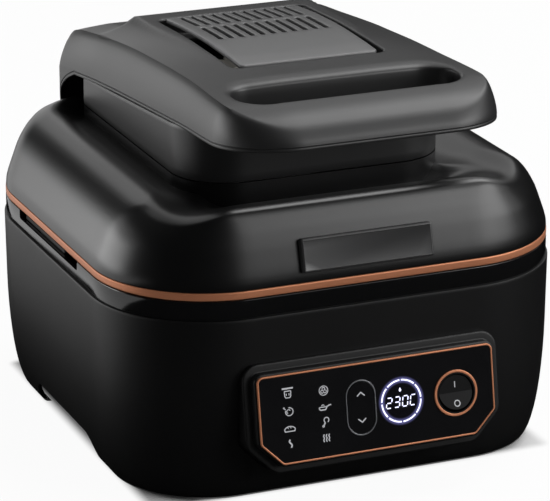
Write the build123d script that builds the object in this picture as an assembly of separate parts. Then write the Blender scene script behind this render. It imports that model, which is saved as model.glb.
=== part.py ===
from build123d import *
from math import cos, pi, radians, sin, sqrt, tan
import os

# Countertop multicooker with a hinged lid. Millimetres, +Z up, the control panel faces -Y.
# The origin is on the table, under the middle of the whole machine.

# Plan outline at the copper trim ring, which every shell follows
RING_W = 350.0
RING_D = 356.0
RING_R = 86.0
RING_Z = 157.0
RING_H = 5.0
RING_T = 5.0

# Base shell
SHELL_WALL = 2.8
SHELL_BOTTOM = 1.5
SHELL_TOP = RING_Z - 15.0
SHELL_PROUD = 1.5
SHELL_DRAFT = 0.012
SHELL_TUCK = 16.0
SHELL_TUCK_H = 88.0
SHELL_CORNER_RATE = 1.25
ARCH_HALF = 64.0
ARCH_H = 22.0
ARCH_R = 16.0

# Underside
PLATE_Z = 26.0
PLATE_T = 2.5
FOOT_IN_X = 63.0
FOOT_IN_Y = 56.0
FOOT_X = RING_W / 2 - FOOT_IN_X
FOOT_Y = RING_D / 2 - FOOT_IN_Y
FOOT_R = 12.0
FOOT_H = 4.0
FOOT_POST_R = 13.5
FIT = 0.3

# Rim bezel and its pockets for the pot's handles
BEZEL_WALL = 3.0
BEZEL_TOP = RING_Z - 0.5
BEZEL_SIDE_GAP = 0.2
POCKET_HALF = 65.0
POCKET_Y = 8.0
POCKET_FLOOR_T = 1.5

# Cooking cavity, set towards the rear
SEAL_W = 8.0
SEAL_SET = 2.0
RIM_LAND = 1.0
CAVITY_SIDE = 30.0
CAVITY_FRONT = 68.0
CAVITY_BACK = RING_T + SEAL_SET + SEAL_W + RIM_LAND
CAVITY_Y = (CAVITY_FRONT - CAVITY_BACK) / 2
CAVITY_HALF_W = RING_W / 2 - CAVITY_SIDE
CAVITY_HALF_D = (RING_D - CAVITY_FRONT - CAVITY_BACK) / 2
CAVITY_R = RING_R - 24.0
CAVITY_WALL = 1.2
CAVITY_FLANGE = 6.0
CAVITY_TOP = RING_Z - 9.0
CAVITY_FLOOR = 50.0
CAVITY_POST_X = CAVITY_HALF_W - 53.0
CAVITY_POST_Y = CAVITY_HALF_D - 58.0
CAVITY_POST_R = 6.0

# Pot, crisper plate and bottom heater
HOT_PLATE_T = 12.0
HOT_PLATE_HALF = 104.0
HOT_PLATE_R = 60.0
POT_CLEAR = 4.0
POT_TAPER = 7.0
POT_WALL = 1.6
POT_RIM = 2.2
POT_TOP = CAVITY_TOP + 3.0
TAB_HALF = 44.0
TAB_T = 2.8
TAB_REACH = 26.0
CRISPER_T = 2.5
CRISPER_LIFT = 10.0
CRISPER_CLEAR = 5.0
CRISPER_HOLE_R = 4.5
CRISPER_PITCH = 32.0
CRISPER_HOLES = 7
LOWER_COIL_R = 78.0
COIL_TUBE_R = 3.4

# Sprung temperature sensor in the middle of the hot plate
SENSOR_R = 15.0
SENSOR_T = 2.2
SENSOR_STEM_R = 3.0
SENSOR_CUP_R = 18.5
SENSOR_CUP_WALL = 1.4
SENSOR_CUP_DEPTH = 17.0
SENSOR_TRAVEL = 1.5
SENSOR_SPRING_R = 8.0
SENSOR_SPRING_T = 1.2
RUNNING = 0.05

# Control pod: a panel that leans back, with stepped edges
PANEL_W = 180.0
PANEL_H = 62.4
PANEL_T = 3.0
PANEL_CUT = 15.5
PANEL_R = 3.5
PANEL_OUT = 20.2
PANEL_Y = -RING_D / 2 - PANEL_OUT
PANEL_Z = 70.85
PANEL_LEAN = 9.9
TRIM_W = 1.3
TRIM_T = 4.0
TRIM_PROUD = 0.5
POD_STEP = 3.0
POD_STEP_BACK = 1.2
POD_LEDGE = 9.0
POD_LEDGE_BACK = 8.0
POD_WALL = 2.6
POD_FRAME_T = 2.3
POD_DEPTH = 34.0
DISPLAY_X = 18.0
DISPLAY_R = 16.5
DISPLAY_T = 6.0
BOARD_T = 1.6
BOARD_GAP = 6.2
BOARD_W = 164.0
BOARD_H = 46.0
POWER_BOARD_W = 150.0
POWER_BOARD_H = 78.0
POWER_BOARD_Y = -RING_D / 2 + 31.0
POWER_BOARD_Z = 38.0

# Round rocker switch
ROCKER_X = 60.7
ROCKER_RING_R = 17.0
ROCKER_RING_T = 1.3
ROCKER_BORE_R = 14.0
ROCKER_WALL = 1.0
ROCKER_DEPTH = 17.0
ROCKER_R = 13.4
ROCKER_PIVOT = 4.0
ROCKER_TILT = 7.0
ROCKER_BULGE = 2.4
ROCKER_KEEL = 8.0

# See-saw key for raising and lowering a setting
KEY_X = -13.3
KEY_W = 23.3
KEY_H = 40.5
KEY_BEZEL_W = 1.0
KEY_BEZEL_PROUD = 0.4
KEY_SIDE_GAP = 0.4
KEY_END_GAP = 0.6
KEY_T = 2.6
KEY_PROUD = 0.5
KEY_PIVOT = 5.4
KEY_AXLE_R = 1.2
KEY_STEM = 4.0
KEY_EAR_T = 2.5
KEY_EAR_GAP = 0.4

# Lid dome
DOME_WALL = 3.0
DOME_LEAN = 20.0
SHOULDER_R = 42.0
SHELF_Z = 217.0
VALLEY_Z = 213.0
DOME_FRONT_RATE = 0.72
DOME_CORNER_RATE = 1.12
NECK_Z = 216.0
NECK_SIDE_IN = 71.5
NECK_FRONT_IN = 76.0
NECK_BACK_IN = 44.0
NECK_HALF_W = RING_W / 2 - NECK_SIDE_IN
NECK_FRONT = NECK_FRONT_IN - RING_D / 2
NECK_BACK = RING_D / 2 - NECK_BACK_IN
NECK_R = 42.0
NECK_WALL = 3.0
NECK_SEAM = 0.6
NECK_STEP = 4.0
NECK_LIP = 4.0

# Top cover with its handle bar
COVER_WALL = 3.0
COVER_FRONT_OUT = 21.5
COVER_FRONT = -RING_D / 2 - COVER_FRONT_OUT
COVER_BACK_IN = 0.5
COVER_BACK = RING_D / 2 - COVER_BACK_IN
COVER_FRONT_HALF = NECK_HALF_W + 4.0
COVER_BACK_HALF = NECK_HALF_W + 5.0
COVER_FRONT_R = 45.0
COVER_BACK_R = 16.0
SKIRT_FRONT_Z = 266.5
SKIRT_BACK_Z = 238.2
SKIRT_BACK_Y = NECK_BACK
SPINE_DEPTH = 8.0
SPINE_Y = COVER_BACK - SPINE_DEPTH
SPINE_TURN_Z = 208.0
SPINE_Z = RING_Z + 9.0
BACK_TOP_Y = COVER_BACK - 29.5
BACK_TOP_Z = 272.0
BACK_TURN_Z = 228.0
NOSE_DEPTH = 38.5
NOSE_Y = COVER_FRONT + NOSE_DEPTH
NOSE_Z = 292.0
CREST_Y = NECK_FRONT + 27.0
CREST_Z = 294.3
PLATEAU_Y = NECK_BACK - 27.0
PLATEAU_Z = 289.5
# Place along Y, then how far hip, crease and crown stand outside the neck, with two heights
COVER_SECTIONS = (
    (COVER_FRONT - 10.5, 4.5, -3.5, 289.0, -19.5, 295.5),
    (NECK_FRONT - 39.0, 4.5, -4.0, 291.5, -19.5, 296.0),
    (NECK_FRONT + 57.0, 1.0, -6.5, 288.5, -22.5, 295.0),
    (NECK_BACK - 104.0, 1.5, -8.5, 285.0, -23.5, 293.5),
    (NECK_BACK - 38.0, 3.0, -8.0, 278.0, -23.5, 291.0),
    (BACK_TOP_Y, 4.5, -7.5, 271.5, -25.5, 281.0),
    (COVER_BACK + 10.0, 5.0, -5.0, 268.0, -25.5, 279.0),
)
SLOT_END_IN = 17.9
SLOT_DEPTH = 42.0
SLOT_HALF = NECK_HALF_W - SLOT_END_IN
SLOT_FRONT = NOSE_Y
SLOT_BACK = SLOT_FRONT + SLOT_DEPTH
SLOT_R = SLOT_DEPTH / 2 - 0.2
COLLAR_WALL = 2.4
LOWER_SHELL_T = 2.4

# Vent plate in its well
VENT_HALF_W = 54.0
VENT_HALF_D = 75.8
VENT_Y = NECK_FRONT + 104.2
VENT_LOW = 288.0
VENT_FRONT_Z = 293.8
VENT_BACK_Z = 291.0
VENT_CREST_Y = VENT_Y - 11.2
VENT_CREST_Z = 296.0
VENT_SKIN = 2.2
VENT_RIM = 3.0
VENT_R = 4.0
WELL_GAP = 6.0
WELL_DEPTH = 13.0
WELL_WALL = 2.0
WELL_LIP = 9.0
SLIT_COUNT = 11
SLIT_PITCH = 8.45
SLIT_W = 3.7
SLIT_L = 39.5
SLIT_ROWS_Y = (VENT_Y + 55.8, VENT_Y + 9.3)

# Badge plate, bare
BADGE_W = 101.0
BADGE_H = 24.5
BADGE_T = 2.6
BADGE_Z = 182.2
BADGE_LEAN = 14.5

# Inside the lid
LINER_T = 1.2
LINER_TOP = RING_Z + 48.0
LINER_SHRINK = 24.0
FLANGE_Z = RING_Z + 2.5
SEAL_GAP = 0.3
SHIELD_Z = LINER_TOP + 4.0
SHIELD_T = 1.0
SHIELD_HALF = 84.0
FAN_Y = CAVITY_Y - 6.0
FAN_R = 48.0
FAN_BLADES = 10
FAN_BLADE_H = 9.0
FAN_TOP = LINER_TOP - 6.0
FAN_PLATE_T = 1.4
GUARD_R = FAN_R + 3.5
GUARD_T = 1.2
GUARD_Z = FAN_TOP - 15.0
SHAFT_R = 3.0
SHAFT_HOLE_R = 8.0
MOTOR_R = 32.0
MOTOR_Z = SHIELD_Z + 8.0
MOTOR_H = 34.0
MOTOR_LEG_R = 4.0
BRACKET_HALF = 46.0
BRACKET_T = 1.6
COOLER_R = 44.0
COOLER_Z = MOTOR_Z + MOTOR_H + 7.0
COOLER_BLADES = 7
COOLER_H = 10.0
UPPER_COIL_R = 92.0
UPPER_COIL_STEP = 9.0
UPPER_COIL_HALF_TURNS = 4
UPPER_COIL_Z = GUARD_Z - 6.0

# Hinge behind the lid
HINGE_OUT = 12.5
HINGE_Y = RING_D / 2 + HINGE_OUT
HINGE_Z = RING_Z + 4.0
HINGE_PIN_R = 3.0
HINGE_WALL = 5.0
HINGE_BARREL_R = HINGE_PIN_R + HINGE_WALL
HINGE_BARREL_HALF = 40.0
HINGE_EAR_T = 14.0
HINGE_EAR_GAP = 0.4
HOUSING_HALF = HINGE_BARREL_HALF + HINGE_EAR_T + 8.0
HOUSING_OUT = 26.3
HOUSING_BACK = RING_D / 2 + HOUSING_OUT
HOUSING_BOTTOM = 96.0
HOUSING_TOP = HINGE_Z - HINGE_BARREL_R - 3.0
HOUSING_R = 8.0
HOUSING_WALL = 2.6
HOUSING_TUCK = 14.0
ARM_HALF = 34.0
ARM_TOP = 203.0
GLAND_X = 76.0
GLAND_Z = 104.0
GLAND_R = 9.0
GLAND_HOLE_R = 6.5

SPAN = RING_W + RING_D


def box(x0, x1, y0, y1, z0, z1):
    middle = Pos((x0 + x1) / 2, (y0 + y1) / 2, (z0 + z1) / 2)
    return middle * Box(x1 - x0, y1 - y0, z1 - z0)


def rod(radius, z0, z1, x=0.0, y=0.0):
    return Pos(x, y, (z0 + z1) / 2) * Cylinder(radius, z1 - z0)


def tube(outer, inner, z0, z1, x=0.0, y=0.0):
    return rod(outer, z0, z1, x, y) - rod(inner, z0 - 1, z1 + 1, x, y)


def cross_rod(radius, x0, x1, y, z):
    return Pos((x0 + x1) / 2, y, z) * (Rot(0, 90, 0) * Cylinder(radius, x1 - x0))


def outline(half_w, front, back, radius, z):
    """Rounded rectangle in plan, as a face at height z."""
    face = RectangleRounded(2 * half_w, back - front, radius)
    return Pos(0, (front + back) / 2, z) * face


def prism(half_w, front, back, radius, z0, z1):
    return extrude(outline(half_w, front, back, radius, z0), z1 - z0)


def stack(levels):
    """Straight-sided solid through a list of plan outlines."""
    return loft([outline(*level) for level in levels], ruled=True)


def ring_outline(inset, radius=None):
    half_d = RING_D / 2 - inset
    corner = RING_R - inset if radius is None else radius
    return (RING_W / 2 - inset, -half_d, half_d, corner)


def cavity_outline(grow):
    return (
        CAVITY_HALF_W + grow,
        CAVITY_Y - CAVITY_HALF_D - grow,
        CAVITY_Y + CAVITY_HALF_D + grow,
        CAVITY_R + grow,
    )


# Base shell: drafted walls that tuck in towards the table

def shell_inset(z):
    """How far the base's side stands inside the ring's outline at height z."""
    inset = SHELL_DRAFT * (SHELL_TOP - z) - SHELL_PROUD
    drop = max(0.0, SHELL_BOTTOM + SHELL_TUCK_H - z) / SHELL_TUCK_H
    return inset + SHELL_TUCK * (1 - sqrt(max(0.0, 1 - drop * drop)))


def shell_level(z, wall=0.0):
    inset = shell_inset(z)
    corner = RING_R - SHELL_CORNER_RATE * inset - wall
    return ring_outline(inset + wall, corner) + (z,)


SHELL_STEPS = (0.0, 0.03, 0.1, 0.22, 0.42, 1.0)


def shell_heights():
    tuck = [SHELL_BOTTOM + SHELL_TUCK_H * step for step in SHELL_STEPS]
    return tuck + [SHELL_TOP]


def shell_body():
    return stack([shell_level(z) for z in shell_heights()])


def shell_hollow():
    return stack([shell_level(z, SHELL_WALL) for z in shell_heights()])


PANEL_PLANE = Plane(
    origin=(0, PANEL_Y, PANEL_Z),
    x_dir=(1, 0, 0),
    z_dir=(0, -cos(radians(PANEL_LEAN)), sin(radians(PANEL_LEAN))),
)


def panel_face(grow, front, radius=None):
    """Panel outline with cut lower corners, grown outwards, at a depth in front of the panel."""
    half_w = PANEL_W / 2 + grow
    half_h = PANEL_H / 2 + grow
    cut = PANEL_CUT + grow * (2 - sqrt(2))
    points = [
        (-half_w, half_h),
        (-half_w, cut - half_h),
        (cut - half_w, -half_h),
        (half_w - cut, -half_h),
        (half_w, cut - half_h),
        (half_w, half_h),
    ]
    face = make_face(Polyline(*points, close=True))
    top = face.vertices().group_by(Axis.Y)[-1]
    face = fillet(top, PANEL_R + grow if radius is None else radius)
    return PANEL_PLANE.offset(front) * face


def panel_slab(grow, back, front):
    return extrude(panel_face(grow, back), front - back)


def panel_rod(radius, back, front, x=0.0, y=0.0):
    middle = PANEL_PLANE.offset((front + back) / 2)
    return middle * (Pos(x, y, 0) * Cylinder(radius, front - back))


def panel_box(width, height, back, front, x=0.0, y=0.0):
    middle = PANEL_PLANE.offset((front + back) / 2)
    return middle * (Pos(x, y, 0) * Box(width, height, front - back))


FRAME_BACK = -PANEL_T - POD_FRAME_T
BOARD_BACK = FRAME_BACK - BOARD_GAP - BOARD_T


def make_base_shell():
    shell = shell_body() - shell_hollow()
    arch = RectangleRounded(2 * ARCH_HALF, 2 * ARCH_H, ARCH_R)
    shell -= extrude(Plane.YZ * (Pos(0, 0) * arch), SPAN / 2, both=True)
    shell -= panel_slab(POD_LEDGE - POD_WALL, -POD_DEPTH, 0)
    gland = Pos(GLAND_X, RING_D / 2, GLAND_Z) * (Rot(90, 0, 0) * Cylinder(GLAND_HOLE_R, 30))
    return shell - gland


def foot_places():
    return [(x, y) for x in (-FOOT_X, FOOT_X) for y in (-FOOT_Y, FOOT_Y)]


def post_places():
    return [
        (x, CAVITY_Y + y)
        for x in (-CAVITY_POST_X, CAVITY_POST_X)
        for y in (-CAVITY_POST_Y, CAVITY_POST_Y)
    ]


def make_bottom_plate():
    level = shell_level(PLATE_Z, SHELL_WALL + FIT)
    plate = extrude(outline(*level), PLATE_T)
    for x, y in foot_places():
        plate += rod(FOOT_POST_R, FOOT_H, PLATE_Z + PLATE_T, x, y)
    for x, y in post_places():
        plate += rod(CAVITY_POST_R, PLATE_Z, CAVITY_FLOOR, x, y)
    for x in (-POWER_BOARD_W / 3, POWER_BOARD_W / 3):
        back = POWER_BOARD_Y + BOARD_T / 2
        plate += box(x - 4, x + 4, back, back + 7, PLATE_Z, POWER_BOARD_Z + POWER_BOARD_H / 3)
    for x, y in foot_places():
        plate -= rod(SCREW_R, FOOT_H - 1, PLATE_Z + PLATE_T + 1, x, y)
    return plate


SCREW_R = 2.0
SCREW_HEAD_R = 3.8
SCREW_HEAD_H = 2.2


def make_foot(x, y):
    foot = rod(FOOT_R, 0, FOOT_H, x, y)
    foot = fillet(foot.edges().group_by(Axis.Z)[0], 1.0)
    return foot - rod(SCREW_HEAD_R + FIT, FOOT_H - SCREW_HEAD_H - FIT, FOOT_H + 1, x, y)


def make_foot_screws():
    screws = []
    for x, y in foot_places():
        head = rod(SCREW_HEAD_R, FOOT_H - SCREW_HEAD_H, FOOT_H, x, y)
        screws.append(head + rod(SCREW_R, FOOT_H - 1, PLATE_Z + PLATE_T, x, y))
    return Compound(children=screws)


# Rim bezel, cavity and cooking parts

POCKET_FLOOR = CAVITY_TOP + POCKET_FLOOR_T
BEZEL_LIP = 2.5


def side_blocks(y, half, z0, z1, inner, outer):
    """One block on each side of the cavity, half long to either side of y."""
    right = box(inner, outer, y - half, y + half, z0, z1)
    return right + box(-outer, -inner, y - half, y + half, z0, z1)


def make_rim_bezel():
    rim = prism(*ring_outline(0), SHELL_TOP, BEZEL_TOP)
    rim -= prism(*cavity_outline(0), SHELL_TOP - 1, BEZEL_TOP + 1)
    hollow = prism(*ring_outline(BEZEL_WALL), SHELL_TOP - 1, BEZEL_TOP - BEZEL_WALL)
    hollow -= prism(*cavity_outline(BEZEL_LIP), CAVITY_TOP, BEZEL_TOP)
    wall = 2.0
    outer = RING_W / 2
    hollow -= side_blocks(POCKET_Y, POCKET_HALF + wall, CAVITY_TOP, BEZEL_TOP, CAVITY_HALF_W, outer)
    rim -= hollow
    inner = CAVITY_HALF_W - 10
    return rim - side_blocks(POCKET_Y, POCKET_HALF, POCKET_FLOOR, BEZEL_TOP + 1, inner, outer + 5)


def make_cavity_liner():
    outer = prism(*cavity_outline(CAVITY_WALL), CAVITY_FLOOR, CAVITY_TOP)
    outer += prism(*cavity_outline(CAVITY_FLANGE), CAVITY_TOP - CAVITY_WALL, CAVITY_TOP)
    liner = outer - prism(*cavity_outline(0), CAVITY_FLOOR + CAVITY_WALL, CAVITY_TOP + 1)
    liner -= rod(SENSOR_CUP_R + FIT, CAVITY_FLOOR - 1, CAVITY_FLOOR + 5, 0, CAVITY_Y)
    for x in (-COIL_END_X, COIL_END_X):
        liner -= rod(COIL_TUBE_R + FIT, CAVITY_FLOOR - 1, CAVITY_FLOOR + 5, x, COIL_END_Y)
    return liner


PLATE_BOTTOM = CAVITY_FLOOR + CAVITY_WALL
POT_BOTTOM = PLATE_BOTTOM + HOT_PLATE_T
COIL_Z = PLATE_BOTTOM + COIL_TUBE_R + 0.4
COIL_HALF_GAP = 20.0
COIL_END_X = LOWER_COIL_R * sin(radians(COIL_HALF_GAP))
COIL_END_Y = CAVITY_Y - LOWER_COIL_R * cos(radians(COIL_HALF_GAP))


def coil_ring(tube_radius):
    """Open ring of heater tube whose two ends are at the front."""
    section = Pos(LOWER_COIL_R, 0, 0) * (Rot(90, 0, 0) * Circle(tube_radius))
    sweep_angle = 360 - 2 * COIL_HALF_GAP
    ring = revolve(section, Axis.Z, sweep_angle)
    return Pos(0, CAVITY_Y, COIL_Z) * (Rot(0, 0, COIL_HALF_GAP - 90) * ring)


def make_lower_element():
    element = coil_ring(COIL_TUBE_R)
    for x in (-COIL_END_X, COIL_END_X):
        element += rod(COIL_TUBE_R, CAVITY_FLOOR - 14, COIL_Z, x, COIL_END_Y)
    return element


def make_hot_plate():
    half = HOT_PLATE_HALF
    plate = prism(half, CAVITY_Y - half, CAVITY_Y + half, HOT_PLATE_R, PLATE_BOTTOM, POT_BOTTOM)
    plate -= rod(SENSOR_CUP_R + FIT, PLATE_BOTTOM - 1, POT_BOTTOM + 1, 0, CAVITY_Y)
    groove = COIL_TUBE_R + FIT
    plate -= coil_ring(groove)
    for x in (-COIL_END_X, COIL_END_X):
        plate -= rod(groove, PLATE_BOTTOM - 1, COIL_Z, x, COIL_END_Y)
    return plate


def pot_stack(shrink, z0, z1):
    """Tapered pot body, shrunk inwards by a wall."""
    def level(z):
        rise = (z - POT_BOTTOM) / (POT_TOP - POT_BOTTOM)
        inward = POT_CLEAR + POT_TAPER * (1 - rise) + shrink
        return cavity_outline(-inward) + (z,)
    foot = 5.0
    low = level(z0)
    tucked = (low[0] - foot, low[1] + foot, low[2] - foot, low[3] - foot, z0)
    return stack([tucked, level(z0 + foot), level(z1)])


def make_cooking_pot():
    pot = pot_stack(0, POT_BOTTOM, POT_TOP)
    pot += prism(*cavity_outline(POT_RIM - POT_CLEAR), POT_TOP - 1.6, POT_TOP)
    tab_low = POCKET_FLOOR + 0.1
    reach = CAVITY_HALF_W + TAB_REACH
    root = CAVITY_HALF_W - POT_CLEAR - 3
    pot += side_blocks(CAVITY_Y, TAB_HALF, tab_low, tab_low + TAB_T, root, reach)
    return pot - pot_stack(POT_WALL, POT_BOTTOM + POT_WALL, POT_TOP + 3)


CRISPER_Z = POT_BOTTOM + POT_WALL + CRISPER_LIFT


def make_crisper_plate():
    inward = POT_CLEAR + POT_TAPER + POT_WALL + CRISPER_CLEAR
    plate = prism(*cavity_outline(-inward), CRISPER_Z, CRISPER_Z + CRISPER_T)
    middle = (CRISPER_HOLES - 1) / 2
    for column in range(CRISPER_HOLES):
        for row in range(CRISPER_HOLES):
            x = (column - middle) * CRISPER_PITCH
            y = CAVITY_Y + (row - middle) * CRISPER_PITCH
            corner = column in (0, CRISPER_HOLES - 1) and row in (0, CRISPER_HOLES - 1)
            if not corner:
                plate -= rod(CRISPER_HOLE_R, CRISPER_Z - 1, CRISPER_Z + CRISPER_T + 1, x, y)
    for x, y in post_places():
        plate += rod(5, POT_BOTTOM + POT_WALL, CRISPER_Z, x, y)
    return plate


SENSOR_TOP = POT_BOTTOM - FIT
CUP_BOTTOM = SENSOR_TOP - SENSOR_T - SENSOR_CUP_DEPTH


def make_sensor_cup():
    cup = rod(SENSOR_CUP_R, CUP_BOTTOM, POT_BOTTOM - 2, 0, CAVITY_Y)
    inner = SENSOR_CUP_R - SENSOR_CUP_WALL
    cup -= rod(inner, CUP_BOTTOM + SENSOR_CUP_WALL, POT_BOTTOM, 0, CAVITY_Y)
    flange = tube(SENSOR_CUP_R + 7, SENSOR_CUP_R - 1, CAVITY_FLOOR - 1.2, CAVITY_FLOOR, 0, CAVITY_Y)
    cup += flange
    return cup - rod(SENSOR_STEM_R + RUNNING, CUP_BOTTOM - 1, POT_BOTTOM, 0, CAVITY_Y)


def make_sensor_button():
    button = rod(SENSOR_R, SENSOR_TOP - SENSOR_T, SENSOR_TOP, 0, CAVITY_Y)
    button = fillet(button.edges().group_by(Axis.Z)[-1], 0.8)
    return button + rod(SENSOR_STEM_R, CUP_BOTTOM - 3, SENSOR_TOP - 1, 0, CAVITY_Y)


def make_sensor_spring():
    low = CUP_BOTTOM + SENSOR_CUP_WALL
    high = SENSOR_TOP - SENSOR_T
    return tube(SENSOR_SPRING_R, SENSOR_SPRING_R - SENSOR_SPRING_T, low, high, 0, CAVITY_Y)


# Control pod on the front

def make_control_pod():
    pod = panel_slab(POD_STEP, -POD_DEPTH, -POD_STEP_BACK)
    pod += panel_slab(POD_LEDGE, -POD_DEPTH, -POD_LEDGE_BACK)
    pod -= panel_slab(TRIM_W + 0.05, -PANEL_T, 5)
    hollow = panel_slab(POD_STEP - POD_WALL, -POD_DEPTH - 1, FRAME_BACK)
    pod -= hollow
    pod -= panel_rod(DISPLAY_R + FIT, -POD_DEPTH, 5, DISPLAY_X)
    pod -= panel_rod(ROCKER_BORE_R + ROCKER_WALL + FIT, -POD_DEPTH, 5, ROCKER_X)
    pod -= panel_key(1.0, -POD_DEPTH, 5)
    for x, y in board_posts():
        pod += panel_rod(3, FRAME_BACK - BOARD_GAP, FRAME_BACK, x, y)
    pod -= shell_body()
    return pod


def board_posts():
    return [
        (x * (BOARD_W / 2 - 6), y * (BOARD_H / 2 - 6) + 3)
        for x in (-1, 1)
        for y in (-1, 1)
    ]


def make_touch_panel():
    panel = panel_slab(0, -PANEL_T, 0) - panel_key(RUNNING, -PANEL_T - 1, 1)
    return panel - panel_rod(ROCKER_BORE_R + ROCKER_WALL + RUNNING, -PANEL_T - 1, 1, ROCKER_X)


def panel_key(grow, back, front, end_grow=None):
    """Upright pill at the key's place, grown sideways and at its ends."""
    end = grow if end_grow is None else end_grow
    middle = PANEL_PLANE.offset((front + back) / 2)
    half = (KEY_H - KEY_W) / 2 + end - grow
    pill = SlotCenterToCenter(2 * half, KEY_W + 2 * grow, 90)
    return middle * (Pos(KEY_X, 0, (back - front) / 2) * extrude(pill, front - back))


def make_key_bezel():
    bezel = panel_key(0, -PANEL_T, KEY_BEZEL_PROUD)
    return bezel - panel_key(-KEY_BEZEL_W, -PANEL_T - 1, KEY_BEZEL_PROUD + 1)


def key_axle(radius, half):
    middle = PANEL_PLANE.offset(-KEY_PIVOT)
    return middle * (Pos(KEY_X, 0, 0) * (Rot(0, 90, 0) * Cylinder(radius, 2 * half)))


def make_adjust_key():
    side = KEY_BEZEL_W + KEY_SIDE_GAP
    end = KEY_BEZEL_W + KEY_END_GAP
    key = panel_key(-side, -KEY_T, KEY_PROUD, -end)
    key += panel_box(2 * KEY_STEM, 6, -KEY_PIVOT - 2, -KEY_T, KEY_X)
    return key + key_axle(KEY_AXLE_R, KEY_STEM + KEY_EAR_GAP + KEY_EAR_T)


def make_key_cradle():
    """Two ears on the control board that carry the key's axle."""
    front = BOARD_BACK + BOARD_T
    inner = KEY_STEM + KEY_EAR_GAP
    outer = inner + KEY_EAR_T
    cradle = panel_box(2 * outer, 7, front, -KEY_PIVOT + 1.9, KEY_X)
    cradle -= panel_box(2 * inner, 9, -KEY_PIVOT - 3, 0, KEY_X)
    return cradle - key_axle(KEY_AXLE_R + RUNNING, outer + 1)


def make_panel_trim():
    trim = panel_slab(TRIM_W, -PANEL_T, TRIM_PROUD)
    return trim - panel_slab(0, -PANEL_T - 1, TRIM_PROUD + 1)


def make_display_module():
    return panel_rod(DISPLAY_R, -PANEL_T - DISPLAY_T, -PANEL_T, DISPLAY_X)


def make_control_board():
    board = panel_box(BOARD_W, BOARD_H, BOARD_BACK, BOARD_BACK + BOARD_T, 0, 3)
    board -= panel_rod(ROCKER_BORE_R + ROCKER_WALL + 1, BOARD_BACK - 1, 0, ROCKER_X)
    board += panel_box(26, 16, BOARD_BACK - 3, BOARD_BACK, DISPLAY_X - 40, 3)
    return board + panel_box(14, 10, BOARD_BACK - 2.4, BOARD_BACK, DISPLAY_X, -8)


def make_power_board():
    y = POWER_BOARD_Y
    low = POWER_BOARD_Z
    high = POWER_BOARD_Z + POWER_BOARD_H
    half = POWER_BOARD_W / 2
    board = box(-half, half, y - BOARD_T / 2, y + BOARD_T / 2, low, high)
    front = y - BOARD_T / 2
    board += box(-half + 12, -half + 42, front - 16, front, low + 10, low + 34)
    board += box(half - 50, half - 22, front - 12, front, low + 8, low + 30)
    capacitor = Pos(0, front - 9, low + 26) * (Rot(90, 0, 0) * Cylinder(7, 18))
    return board + capacitor


def make_rocker_ring():
    ring = panel_rod(ROCKER_RING_R, 0, ROCKER_RING_T, ROCKER_X)
    ring -= panel_rod(ROCKER_BORE_R + ROCKER_WALL, -1, ROCKER_RING_T + 1, ROCKER_X)
    return ring


def make_rocker_housing():
    housing = panel_rod(ROCKER_BORE_R + ROCKER_WALL, -ROCKER_DEPTH, ROCKER_RING_T, ROCKER_X)
    housing -= panel_rod(ROCKER_BORE_R, -ROCKER_DEPTH + 1.5, ROCKER_RING_T + 1, ROCKER_X)
    axle = PANEL_PLANE.offset(-ROCKER_PIVOT) * (Pos(ROCKER_X, 0, 0) * axle_rod(ROCKER_BORE_R + 0.4))
    return housing + axle


ROCKER_AXLE_R = 1.2


def axle_rod(half):
    return Rot(0, 90, 0) * Cylinder(ROCKER_AXLE_R, 2 * half)


def make_power_rocker():
    """Cap with a shallow V, resting with its upper half pressed in."""
    cap = Pos(0, 0, (ROCKER_BULGE - ROCKER_KEEL + ROCKER_PIVOT) / 2)
    cap *= Cylinder(ROCKER_R, ROCKER_BULGE + ROCKER_KEEL + ROCKER_PIVOT)
    cap &= Sphere(ROCKER_BORE_R - FIT)
    slope = tan(radians(ROCKER_TILT))
    low = ROCKER_PIVOT + 0.2
    high = low + ROCKER_R * 2 * slope
    for side in (-1, 1):
        wedge = Polyline(
            (0, low), (side * 2 * ROCKER_R, high), (side * 2 * ROCKER_R, high + 20), (0, high + 20),
            close=True,
        )
        cap -= extrude(Plane.YZ * make_face(wedge), 2 * ROCKER_R, both=True)
    cap -= Rot(0, 90, 0) * Cylinder(ROCKER_AXLE_R + RUNNING, 4 * ROCKER_R)
    tilted = Rot(-ROCKER_TILT, 0, 0) * cap
    return PANEL_PLANE.offset(-ROCKER_PIVOT) * (Pos(ROCKER_X, 0, 0) * tilted)


# Hinge and rear parts

def make_hinge_housing():
    front = RING_D / 2 - 20
    level = (HOUSING_HALF, front, HOUSING_BACK, HOUSING_R)
    low = (HOUSING_HALF - 2, front, HOUSING_BACK - HOUSING_TUCK, HOUSING_R, HOUSING_BOTTOM)
    block = stack([low, level + (HOUSING_BOTTOM + HOUSING_TUCK,), level + (HOUSING_TOP,)])
    inner = HOUSING_WALL
    block -= prism(
        HOUSING_HALF - inner, front - 20, HOUSING_BACK - inner, HOUSING_R - inner,
        HOUSING_BOTTOM + HOUSING_TUCK, HOUSING_TOP - inner,
    )
    block -= shell_body()
    return block - prism(*ring_outline(-FIT), SHELL_TOP - 1, HOUSING_TOP + 1)


EAR_IN = HINGE_BARREL_HALF + HINGE_EAR_GAP


def make_hinge_bracket(side):
    low, high = sorted((side * EAR_IN, side * (EAR_IN + HINGE_EAR_T)))
    ear = cross_rod(HINGE_BARREL_R, low, high, HINGE_Y, HINGE_Z)
    half = HINGE_BARREL_R - 1
    ear += box(low, high, HINGE_Y - half, HINGE_Y + half, HOUSING_TOP, HINGE_Z)
    return ear - cross_rod(HINGE_PIN_R, low - 1, high + 1, HINGE_Y, HINGE_Z)


def make_hinge_pin():
    half = EAR_IN + HINGE_EAR_T
    return cross_rod(HINGE_PIN_R, -half, half, HINGE_Y, HINGE_Z)


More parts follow.
